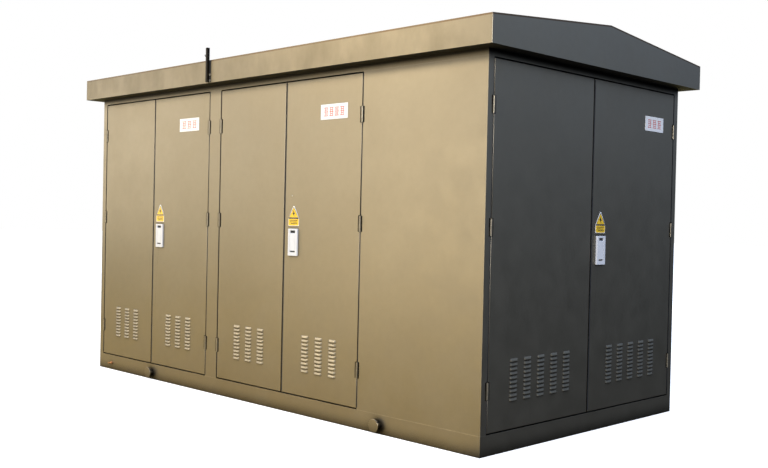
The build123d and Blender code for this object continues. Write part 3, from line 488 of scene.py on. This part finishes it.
def door_frame(door):
    """The leaf's own frame, from its hinge axis to its centre edge, and the leaf's width."""
    hinge = JOINTS[f"{door}_door_swing"]["pos_m"]
    low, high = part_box(f"{door}_door_skin")
    middle = (low + high) / 2
    if door.startswith("hv"):
        u = (0, 1, 0) if middle.y > hinge[1] else (0, -1, 0)
        return Frame((hinge[0], hinge[1], 0), u, (1, 0, 0)), high.y - low.y
    u = (1, 0, 0) if middle.x > hinge[0] else (-1, 0, 0)
    return Frame((hinge[0], hinge[1], 0), u, (0, -1, 0)), high.x - low.x


def louvre_hood(mesh, f, centre, top):
    """One pressed hood: domed section, tapered ends, a short rolled lip over the opening."""
    across = [HOOD_HALF * math.sin((-1 + 2 * k / HOOD_COLUMNS) * math.pi / 2)
              for k in range(HOOD_COLUMNS + 1)]

    def height(u, v):
        taper = min(1.0, (HOOD_HALF - abs(u)) / HOOD_ROUND)
        return HOOD_RISE * math.sin(v * math.pi / 2) ** 0.9 * taper * taper * (3 - 2 * taper)

    rows = []
    for step in range(HOOD_ROWS + 1):
        v = step / HOOD_ROWS
        z = top + HOOD_LAP - v * (LOUVRE_HEIGHT + HOOD_LAP)
        rows.append([f.at(centre + u, height(u, v) + 0.0001, z) for u in across])
    rows.append([f.at(centre + u * 0.98, max(0.0, height(u, 1.0) - 0.0015),
                      top - LOUVRE_HEIGHT + 0.0002) for u in across])
    mesh.grid(rows)


def louvre_hoods(name, body, f, centres, tops, material="hood_paint"):
    mesh = Mesh()
    for centre in centres:
        for top in tops:
            louvre_hood(mesh, f, centre, top)
    return mesh.piece(name, body, material, "body_paint")


def columns(middle, count, spacing):
    return [middle + (k - (count - 1) / 2) * spacing for k in range(count)]


def rows_down(top, count):
    return [top - k * LOUVRE_PITCH for k in range(count)]


for door in DOORS:
    body = f"{door}_door"
    f, width = door_frame(door)
    hv = door.startswith("hv")
    middle = HINGE_TO_EDGE + width / 2
    centres = columns(middle, 5 if hv else 3, 0.133 if hv else 0.137)
    # the leaves on the right end carry the darker copy of the louvre paint: painted shade
    louvre_hoods(f"{door}_louvre_hoods", body, f, centres, rows_down(LOW_LOUVRES, 10),
                 "shaded_louvre_paint_for_end" if hv else "hood_paint")
    # insect mesh in a thin border behind the louvres
    left, right = centres[0] - 0.055, centres[-1] + 0.055
    cover = Mesh()
    cover.slab(f, left, right, MESH_FOOT, MESH_HEAD, -0.0042, -0.0030)
    cover.piece(f"{door}_insect_mesh", body, "mesh")
    edge = Mesh()
    for u0, u1, z0, z1 in ((left - 0.008, right + 0.008, MESH_FOOT - 0.008, 0.206),
                           (left - 0.008, right + 0.008, 0.546, 0.558),
                           (left - 0.008, left + 0.006, 0.206, 0.546),
                           (right - 0.006, right + 0.008, 0.206, 0.546)):
        edge.slab(f, u0, u1, z0, z1, -0.0062, -0.0042)
    edge.piece(f"{door}_mesh_border", body, "galvanised", "galvanised")


# ---------------------------------------------------------------- door seals on the steel stops

SEAL_FOOT, SEAL_HEAD = 0.135, 2.249


def seal_strip(mesh, points, out, width=0.007, height=0.0016):
    """A half-round strip along straight runs on a sheet's face: rubber for the door seals, and black painted shade
    along the door gaps.
    """
    for a, b in zip(points, points[1:]):
        side = (b - a).normalized().cross(out)
        mesh.grid([[end + side * (math.cos(t) * width) + out * (math.sin(t) * height)
                    for t in [math.pi * k / 6 for k in range(7)]] for end in (a, b)])


for room in ROOMS:
    f, width = door_frame(f"{room}_left")
    g, _ = door_frame(f"{room}_right")
    opening = (g.origin - f.origin).length
    mesh = Mesh()
    inset, depth = 0.007, -0.042
    corners = [f.at(inset, depth, SEAL_FOOT), f.at(inset, depth, SEAL_HEAD),
               f.at(opening - inset, depth, SEAL_HEAD), f.at(opening - inset, depth, SEAL_FOOT)]
    seal_strip(mesh, corners, f.o)
    mesh.piece(f"{room}_door_seal", "housing", "black_rubber_and_shade", "cable_black")


# ---------------------------------------------------------------- signs and locks

PRINT = 0.00025                 # how far one layer of print stands out
PLATE_FACE = 0.0015             # front of the sign and warning plates
SIGN_U, SIGN_Z = 0.265, 2.024   # the room sign's centre
LOCK_INSET = 0.096              # the lock's centre is this far short of the leaf's width
POCKET_HALF = 0.0275


def rounded(u0, u1, z0, z1, r, steps=4):
    """The outline of a rectangle with round corners."""
    points = []
    for cu, cz, start in ((u1 - r, z1 - r, 0), (u0 + r, z1 - r, 90),
                          (u0 + r, z0 + r, 180), (u1 - r, z0 + r, 270)):
        for k in range(steps + 1):
            t = math.radians(start + 90 * k / steps)
            points.append((cu + r * math.cos(t), cz + r * math.sin(t)))
    return points


def bar(u, z, left, right, half, r=0.0012):
    return rounded(u + left, u + right, z - half, z + half, r, 2)


def room_sign(room, f):
    """Plain red blocks of short bars where the sign has its characters."""
    mesh = Mesh()
    count = 4 if room == "tx" else 3
    half_sign = 0.120 if room == "hv" else 0.130
    pitch = 2 * half_sign * 0.80 / count
    half = pitch * 0.36
    for k in range(count):
        u = SIGN_U + (k - (count - 1) / 2) * pitch
        for row, (left, right) in enumerate(((-1, 1), (-0.7, 0.75), (-1, 0.9),
                                             (-0.6, 0.6), (-0.95, 1))):
            z = SIGN_Z + 0.026 - row * 0.013
            mesh.extruded(f, bar(u, z, left * half, right * half, 0.0021),
                          PLATE_FACE, PLATE_FACE + PRINT)
        for shift in (-0.55, 0.5):
            mesh.extruded(f, bar(u + shift * half, SIGN_Z, -0.0021, 0.0021, 0.026),
                          PLATE_FACE, PLATE_FACE + PRINT * 0.9)
    mesh.piece(f"{room}_sign_marks", f"{room}_right_door", "red_print", "sign_plate")


def warning_plate(room, f, at):
    """A yellow triangle over a yellow field, with a plain flash, a rule and three bars."""
    layers = [PLATE_FACE, PLATE_FACE + PRINT, PLATE_FACE + 2 * PRINT]
    yellow = Mesh()
    yellow.extruded(f, [(at - 0.0455, 1.3290), (at + 0.0455, 1.3290), (at + 0.002, 1.3925),
                        (at - 0.002, 1.3925)], *layers[:2])
    yellow.extruded(f, [(at - 0.0525, 1.280), (at - 0.046, 1.2735), (at + 0.046, 1.2735),
                        (at + 0.0525, 1.280), (at + 0.0525, 1.3185), (at - 0.0525, 1.3185)],
                    *layers[:2])
    yellow.piece(f"{room}_warning_fields", f"{room}_right_door", "yellow_print", "sign_plate")
    dark = Mesh()
    # the triangle's rim lies under its yellow face
    dark.extruded(f, [(at - 0.0505, 1.3265), (at + 0.0505, 1.3265), (at + 0.003, 1.398),
                      (at - 0.003, 1.398)], PLATE_FACE, PLATE_FACE + PRINT / 2)
    dark.extruded(f, [(at + 0.009, 1.381), (at - 0.015, 1.352), (at - 0.003, 1.352),
                      (at - 0.010, 1.331), (at + 0.016, 1.360), (at + 0.004, 1.360)],
                  *layers[1:])
    dark.extruded(f, [(at - 0.053, 1.3190), (at + 0.053, 1.3190), (at + 0.052, 1.3260),
                      (at - 0.052, 1.3260)], *layers[:2])
    for z, left, right in ((1.309, -0.040, 0.038), (1.2975, -0.036, 0.040),
                           (1.286, -0.038, 0.030)):
        dark.extruded(f, bar(at, z, left, right, 0.0024, 0.0010), *layers[1:])
    dark.piece(f"{room}_warning_marks", f"{room}_right_door", "black_print", "sign_plate")


def pocket_shade_pieces(room, f, at):
    """Black pieces at the foot and head of the lock's pocket, painted as the shade inside it."""
    shade_bars = Mesh()
    for z0, z1 in ((1.0925, 1.1015), (1.2225, 1.2395)):
        shade_bars.slab(f, at - POCKET_HALF, at + POCKET_HALF, z0, z1, 0.003, 0.0036)
    shade_bars.piece(f"{room}_pocket_lining", f"{room}_right_door", "pocket")


for room in ROOMS:
    f, width = door_frame(f"{room}_right")
    room_sign(room, f)
    warning_plate(room, f, width - LOCK_INSET + 0.002)
    pocket_shade_pieces(room, f, width - LOCK_INSET)

# small blind rivet on the transformer room's right-hand leaf
f, width = door_frame("tx_right")
rivet = Mesh()
rivet.turned(f.at(0.673, 0, 1.474), f.o,
             [(0, 0), (0, 0.0058), (0.0008, 0.0057), (0.0018, 0.0045), (0.0026, 0.0025),
              (0.0028, 0.0012), (0.0014, 0.0011), (0.0014, 0)], 20)
rivet.piece("tx_blind_rivet", "tx_right_door", "bolt_steel", "bolt_steel")


# ---------------------------------------------------------------- black strips along the door gaps, painted shade

HINGE_LEVELS = (0.371, 1.298, 1.990)
HINGE_HALF = 0.054

# black strips painted as the shade in the gaps: beside each leaf's hinges, and on the right-hand leaf's centre
# edge
for door in DOORS:
    f, width = door_frame(door)
    mesh = Mesh()
    stretches = [0.133] + [z + side * HINGE_HALF for z in HINGE_LEVELS for side in (-1, 1)]
    stretches.append(2.254)
    for low, high in zip(stretches[::2], stretches[1::2]):
        seal_strip(mesh, [f.at(-0.0053, 0.0, low), f.at(-0.0053, 0.0, high)], f.o, 0.0026, 0.0008)
    mesh.piece(f"{door}_gap_shade_strip", "housing", "black_rubber_and_shade", "cable_black")
    if "right" in door:
        mesh = Mesh()
        at = width + 0.0012
        seal_strip(mesh, [f.at(at, 0.0, 0.138), f.at(at, 0.0, 2.246)], f.o, 0.0044, 0.0010)
        mesh.piece(f"{door}_centre_gap_shade_strip", f"{door}_door", "black_rubber_and_shade", "cable_black")


# ---------------------------------------------------------------- roof post fittings

HOOK_THICK = 0.0032
HOOK_PATH = [(0.0, 2.489), (0.010, 2.490), (0.017, 2.494), (0.022, 2.500), (0.0235, 2.508)]
BACK = Vector((0, 1, 0))

post_lo, post_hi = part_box("roof_post")
fascia_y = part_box("roof_shell")[0].y
# a thin black strip on the fascia right of the post: the post's painted shadow
shadow_strip = Mesh()
shadow_strip.slab(Frame((0, 0, 0), (1, 0, 0), (0, 1, 0)), post_hi.x, post_hi.x + 0.019,
         post_lo.z, 2.464, fascia_y - 0.0022, fascia_y - 0.0001)
shadow_strip.piece("post_shadow_strip", "housing", "black_rubber_and_shade", "cable_black", bevel=0.0005)
hook = Mesh()
middle_y = (post_lo.y + post_hi.y) / 2
rows = []
for k, (out, z) in enumerate(HOOK_PATH):
    before, after = HOOK_PATH[max(0, k - 1)], HOOK_PATH[min(len(HOOK_PATH) - 1, k + 1)]
    run = Vector((-(after[0] - before[0]), 0, after[1] - before[1])).normalized()
    lift = run.cross(BACK)
    rows.append([Vector((post_lo.x - out, middle_y, z))
                 + (BACK * math.cos(t) + lift * math.sin(t)) * HOOK_THICK
                 for t in [2 * math.pi * j / 12 for j in range(12)]])
hook.grid(rows, closed=True)
hook.face(rows[-1])
hook.piece("post_hook", "housing", "core_steel", "bolt_steel")


# ---------------------------------------------------------------- left end and rear

left_end = Frame((cad_box[0].x + 0.11, 0, 0), (0, -1, 0), (-1, 0, 0))
louvre_hoods("left_end_louvre_hoods", "housing", left_end,
             [0.2 * k for k in (-3, -2, -1, 1, 2, 3)],
             rows_down(LOW_LOUVRES, 10) + rows_down(HIGH_LOUVRES, 10))

PANEL_GAP, BOLT_INSET = 0.012, 0.022
rear_lo, rear_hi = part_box("rear_vent_panels")
rear_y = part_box("rear_wall")[1].y
rear = Frame((0, rear_y, 0), (1, 0, 0), (0, 1, 0))
half_panel = (rear_hi.x - rear_lo.x - PANEL_GAP) / 4
for label, middle in (("west", rear_lo.x + half_panel), ("east", rear_hi.x - half_panel)):
    louvre_hoods(f"rear_{label}_louvre_hoods", "housing", rear, columns(middle, 4, 0.150),
                 rows_down(LOW_LOUVRES, 14) + rows_down(HIGH_LOUVRES, 14))
    bolts = Mesh()
    for z in (0.16, 0.68, 1.20, 1.72, 2.22):
        for side in (-1, 1):
            bolts.hexagon(rear.at(middle + side * (half_panel - BOLT_INSET), 0, z), rear.o,
                          0.0075, 0.006)
    bolts.piece(f"rear_{label}_panel_bolts", "housing", "bolt_steel", "bolt_steel")


# ---------------------------------------------------------------- inside the rooms

LAMP = [(0, 0), (0, 0.0155), (0.004, 0.0155), (0.0045, 0.0115), (0.010, 0.0105),
        (0.014, 0.0075), (0.0155, 0.003), (0.0158, 0)]
LAMP_COLORS = (("red", -1), ("amber", 0), ("green", 1))


def dial(name, f, u, z, radius):
    """A round dial gauge: dark bezel, pale face, ticks and a needle."""
    bezel = Mesh()
    bezel.turned(f.at(u, 0, z), f.o,
                 [(0, 0), (0, radius), (0.012, radius), (0.014, radius * 0.95),
                  (0.014, radius * 0.86), (0.008, radius * 0.84), (0.008, 0)], 32)
    bezel.piece(f"{name}_bezel", "housing", "case", "cable_black")
    face = Mesh()
    face.turned(f.at(u, 0.008, z), f.o,
                [(0, 0), (0, radius * 0.83), (0.0006, radius * 0.82), (0.0006, 0)], 32)
    face.piece(f"{name}_face", "housing", "gauge_glass", "sign_plate")
    marks = Mesh()
    for k in range(9):
        angle = math.radians(-120 + 30 * k)
        sine, cosine = math.sin(angle), math.cos(angle)
        marks.extruded(f, [(u + (sine * r + cosine * w) * radius,
                            z + (cosine * r - sine * w) * radius)
                           for r, w in ((0.62, -0.02), (0.76, -0.02), (0.76, 0.02), (0.62, 0.02))],
                       0.0086, 0.0090)
    needle = ((-0.05, -0.1), (0.05, -0.1), (-0.36, 0.56))
    marks.extruded(f, [(u + a * radius, z + b * radius) for a, b in needle], 0.0090, 0.0096)
    marks.piece(f"{name}_marks", "housing", "black_print", "cable_black")


def lamps(name, f, places, material):
    mesh = Mesh()
    for u, o, z in places:
        mesh.turned(f.at(u, o, z), f.o, LAMP, 18)
    mesh.piece(name, "housing", material, "handle_plastic")


# low-voltage board: meters, lamps, six feeder breakers and blank labels
board = Frame((0, -0.100, 0), (1, 0, 0), (0, -1, 0))
handle_lo, handle_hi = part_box("lv_breaker_handle")
main_u = (handle_lo.x + handle_hi.x) / 2
feeders = [main_u + (k - 2.5) * 0.190 for k in range(6)]
for k, shift in enumerate((-0.24, 0.0, 0.24)):
    dial(f"lv_meter_{k + 1}", board, main_u + shift, 1.885, 0.048)
for name, side in LAMP_COLORS:
    places = [(u + side * 0.03, 0, 1.245) for u in feeders]
    places.append((main_u + side * 0.03 * 2.4, 0.060, 1.735))
    lamps(f"lv_{name}_lamps", board, places, f"lamp_{name}")
breakers, labels, toggles = Mesh(), Mesh(), Mesh()
for mesh, half, z0, z1, r, steps, o0, o1 in (
        (breakers, 0.052, 0.935, 1.165, 0.004, 3, 0.044, 0.062),
        (breakers, 0.030, 1.000, 1.100, 0.004, 3, 0.062, 0.074),
        (labels, 0.040, 1.112, 1.152, 0.003, 2, 0.062, 0.0632),
        (labels, 0.045, 0.872, 0.894, 0.002, 2, 0.0, 0.002),
        (toggles, 0.011, 1.062, 1.092, 0.003, 3, 0.074, 0.098)):
    for u in feeders:
        mesh.extruded(board, rounded(u - half, u + half, z0, z1, r, steps), o0, o1)
breakers.extruded(board, rounded(main_u - 0.118, main_u + 0.118, 1.485, 1.545, 0.004, 3),
                  0.060, 0.066)
labels.extruded(board, rounded(main_u - 0.10, main_u + 0.10, 1.500, 1.530, 0.003, 2),
                0.066, 0.0672)
breakers.piece("lv_feeder_breakers", "housing", "case", "cable_black", bevel=0.0015)
labels.piece("lv_blank_labels", "housing", "sign_plate", "sign_plate")
toggles.piece("lv_feeder_toggles", "housing", "handle_plastic", "handle_plastic", bevel=0.002)

# high-voltage cubicle: three bays with windows, mimic lines, lamps and panel bolts
BAYS = (-0.4, 0.0, 0.4)
MIMIC_FOOT, MIMIC_HEAD, MIMIC_THICK = 0.545, 0.800, 0.0008
cubicle = Frame((1.802, 0, 0), (0, 1, 0), (1, 0, 0))
frames, glass, lines, hasps = Mesh(), Mesh(), Mesh(), Mesh()
for u in BAYS:
    frames.extruded(cubicle, rounded(u - 0.085, u + 0.085, 1.375, 1.440, 0.008, 3), 0.0, 0.004)
    glass.extruded(cubicle, rounded(u - 0.075, u + 0.075, 1.382, 1.433, 0.005, 3), 0.004, 0.0052)
    lines.slab(cubicle, u - 0.003, u + 0.003, MIMIC_FOOT, MIMIC_HEAD, 0.0, MIMIC_THICK)
    lines.slab(cubicle, u - 0.06, u + 0.06, MIMIC_HEAD, MIMIC_HEAD + 0.006, 0.0, MIMIC_THICK)
    lines.extruded(cubicle, [(u - 0.016, MIMIC_FOOT), (u + 0.016, MIMIC_FOOT), (u, 0.518)],
                   0.0, MIMIC_THICK)
    for side in (-1, 1):
        for z in (1.065, 1.435, 0.525, 0.875):
            hasps.hexagon(cubicle.at(u + side * 0.155, 0, z), cubicle.o, 0.006, 0.006)
frames.piece("hv_window_frames", "housing", "case", "cable_black", bevel=0.001)
glass.piece("hv_windows", "housing", "pocket", "cable_black", bevel=0.0004)
lines.piece("hv_mimic_lines", "housing", "red_print", "sign_plate")
hasps.piece("hv_panel_bolts", "housing", "bolt_steel", "bolt_steel")
for name, side in LAMP_COLORS:
    lamps(f"hv_{name}_lamps", cubicle, [(u + side * 0.05, 0, 0.850) for u in BAYS],
          f"lamp_{name}")

# transformer: lid bolts, a dial thermometer on its stem, terminal nuts
LID_TOP = 1.133
GAUGE_X, GAUGE_Y = 0.13, -0.205
lid_lo, lid_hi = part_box("transformer_lid")
rim = Mesh()
for k in range(9):
    for y in (lid_lo.y + 0.018, lid_hi.y - 0.018):
        x = lid_lo.x + 0.03 + k * (lid_hi.x - lid_lo.x - 0.06) / 8
        rim.hexagon((x, y, LID_TOP), (0, 0, 1), 0.009, 0.008)
rim.piece("lid_bolts", "housing", "bolt_steel", "bolt_steel")
stem = Mesh()
stem.turned((GAUGE_X, GAUGE_Y, LID_TOP), (0, 0, 1),
            [(0, 0), (0, 0.018), (0.008, 0.018), (0.009, 0.007), (0.062, 0.007), (0.062, 0)], 20)
stem.piece("thermometer_stem", "housing", "copper", "brass")
dial("thermometer", Frame((0, GAUGE_Y - 0.007, 0), (1, 0, 0), (0, -1, 0)), GAUGE_X,
     LID_TOP + 0.098, 0.042)
caps = Mesh()
terminal_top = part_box("transformer_bushings")[1].z - 0.002
for y in (-0.15, 0.0, 0.15):
    caps.hexagon((0.712, y, terminal_top - 0.030), (0, 0, 1), 0.011, 0.028)
caps.piece("bushing_terminal_nuts", "housing", "copper", "brass")


# ---------------------------------------------------------------- camera

CAMERA_PLACE, LENS_MM, SENSOR_MM = (5.5658, -5.3241, 1.3316), 45.683, 36.0
HEADING, PITCH, ROLL = (math.radians(a) for a in (44.907, 0.885, 1.254))


def camera():
    data = bpy.data.cameras.new("camera")
    data.sensor_width = SENSOR_MM
    data.lens = LENS_MM
    item = bpy.data.objects.new("camera", data)
    SCENE.collection.objects.link(item)
    level = Vector((-math.sin(HEADING), math.cos(HEADING), 0))
    forward = level * math.cos(PITCH) - Vector((0, 0, math.sin(PITCH)))
    right = forward.cross(Vector((0, 0, 1))).normalized()
    up = right.cross(forward)
    across = right * math.cos(ROLL) + up * math.sin(ROLL)
    above = up * math.cos(ROLL) - right * math.sin(ROLL)
    turn = Matrix((across, above, -forward)).transposed().to_4x4()
    item.matrix_world = Matrix.Translation(CAMERA_PLACE) @ turn
    SCENE.camera = item


camera()


# ---------------------------------------------------------------- floor, world and studio light

FLOOR_REACH = 60.0
# the house's outline, inside which the floor is painted dark as shade
HALF_LENGTH, HALF_DEPTH = 2.04, 0.99    # the dark ground under the house
SUNNY, SHADY = (0.62, 0.45, 0.15), (0.02, 0.017, 0.012)
HORIZON, SKY, SKY_STRENGTH = (0.075, 0.086, 0.105), (0.40, 0.54, 0.84), 1.25
LIGHTS = (
    # two broad warm softboxes that the front's satin paint mirrors towards the camera
    ("softbox_right", (-3.6, -8.1, 1.9), (0.6, -1.0, 1.3), (4.2, 3.1), 126, (1.0, 0.88, 0.67)),
    ("softbox_left", (-8.6, -5.2, 2.6), (-1.0, -1.0, 1.5), (3.0, 3.3), 88, (1.0, 0.90, 0.73)),
    # a broad key from the upper left
    ("key", (-6.9, -7.8, 7.0), (0, -1, 1.0), (2.8, 2.8), 570, (1.0, 0.84, 0.57)),
    # a neutral fill from beside the camera: it lights the signs and locks on both faces
    ("fill", (8.5, -8.5, 5.0), (1.0, -0.5, 1.2), (3.0, 3.0), 1000, (1.0, 0.97, 0.94)),
    # a cool light from behind, for the rear and the roof
    ("rim", (-7.5, 8.5, 4.5), (-0.5, 0.5, 1.4), (7.0, 5.0), 620, (0.92, 0.96, 1.0)),
)


def pale_floor():
    """White to the eye; the object sees ground painted sunlit and warm in front and painted in shadow beyond the
    right end, as it would outdoors.
    """
    n = Nodes("pale_floor")
    ray = n.add("ShaderNodeLightPath").outputs["Is Camera Ray"]
    shade = n.mix(n.ramp(n.noise(3.0, 5.0), 0.3, 0.7), (0.80, 0.80, 0.79), (0.84, 0.84, 0.83))
    ground = n.mix(n.ramp(n.axis(0), 1.9, 2.15), SUNNY, SHADY)
    distance = n.add("ShaderNodeVectorMath", operation="LENGTH")
    n.link(n.place, distance.inputs[0])
    glow = n.ramp(distance.outputs["Value"], 3.0, 16.0, 0.62, 0.97)
    # under the house, seen through the cable trenches, the ground is painted dark as shade
    along = n.ramp(n.math("ABSOLUTE", n.axis(0)), HALF_LENGTH, HALF_LENGTH + 0.04, 1.0, 0.0)
    back = n.ramp(n.math("ABSOLUTE", n.axis(1)), HALF_DEPTH, HALF_DEPTH + 0.04, 1.0, 0.0)
    under = n.math("MULTIPLY", along, back)
    glow = n.math("MULTIPLY", glow, n.math("SUBTRACT", 1.0, under))
    shade = n.mix(under, shade, (0.06, 0.05, 0.04))
    n.bump(n.noise(120.0, 3.0), 0.05, 0.0006)
    n.shader.inputs["Emission Color"].default_value = (1.0, 1.0, 1.0, 1.0)
    n.feed(n.math("MULTIPLY", glow, ray), n.shader.inputs["Emission Strength"])
    n.shader.inputs["Specular IOR Level"].default_value = 0.1
    return n.finish(n.mix(ray, ground, shade), n.ramp(n.noise(8.0), 0.3, 0.7, 0.7, 0.85))


def floor():
    data = bpy.data.meshes.new("studio_floor")
    corners = ((-1, -1), (1, -1), (1, 1), (-1, 1))
    data.from_pydata([(x * FLOOR_REACH, y * FLOOR_REACH, 0) for x, y in corners],
                     [], [(0, 1, 2, 3)])
    data.materials.append(pale_floor())
    item = bpy.data.objects.new("studio_floor", data)
    SCENE.collection.objects.link(item)


def sky():
    """A dim sky that brightens upwards; plain white where the camera looks straight at it."""
    world = bpy.data.worlds.new("studio")
    SCENE.world = world
    world.use_nodes = True
    tree = world.node_tree
    nodes, link = tree.nodes, tree.links.new
    lit = nodes["Background"]
    height = nodes.new("ShaderNodeSeparateXYZ")
    link(nodes.new("ShaderNodeTexCoord").outputs["Generated"], height.inputs[0])
    rise = nodes.new("ShaderNodeMapRange")
    link(height.outputs[2], rise.inputs["Value"])
    rise.inputs["From Min"].default_value = 0.02
    rise.inputs["From Max"].default_value = 0.42
    shade = nodes.new("ShaderNodeMix")
    shade.data_type = "RGBA"
    link(rise.outputs[0], shade.inputs[0])
    shade.inputs[6].default_value = (*HORIZON, 1.0)
    shade.inputs[7].default_value = (*SKY, 1.0)
    link(shade.outputs[2], lit.inputs["Color"])
    lit.inputs["Strength"].default_value = SKY_STRENGTH
    seen = nodes.new("ShaderNodeBackground")
    seen.inputs["Color"].default_value = (1.0, 1.0, 1.0, 1.0)
    seen.inputs["Strength"].default_value = 1.0
    mix = nodes.new("ShaderNodeMixShader")
    link(nodes.new("ShaderNodeLightPath").outputs["Is Camera Ray"], mix.inputs[0])
    link(lit.outputs[0], mix.inputs[1])
    link(seen.outputs[0], mix.inputs[2])
    link(mix.outputs[0], nodes["World Output"].inputs["Surface"])


def softbox(name, place, target, size, power, color):
    data = bpy.data.lights.new(name, "AREA")
    data.shape = "RECTANGLE"
    data.size, data.size_y = size
    data.energy = power
    data.color = color
    item = bpy.data.objects.new(name, data)
    SCENE.collection.objects.link(item)
    item.location = place
    item.rotation_mode = "QUATERNION"
    item.rotation_quaternion = (Vector(target) - Vector(place)).to_track_quat("-Z", "Y")


floor()
sky()
for light in LIGHTS:
    softbox(*light)
SCENE.view_settings.view_transform = "Standard"
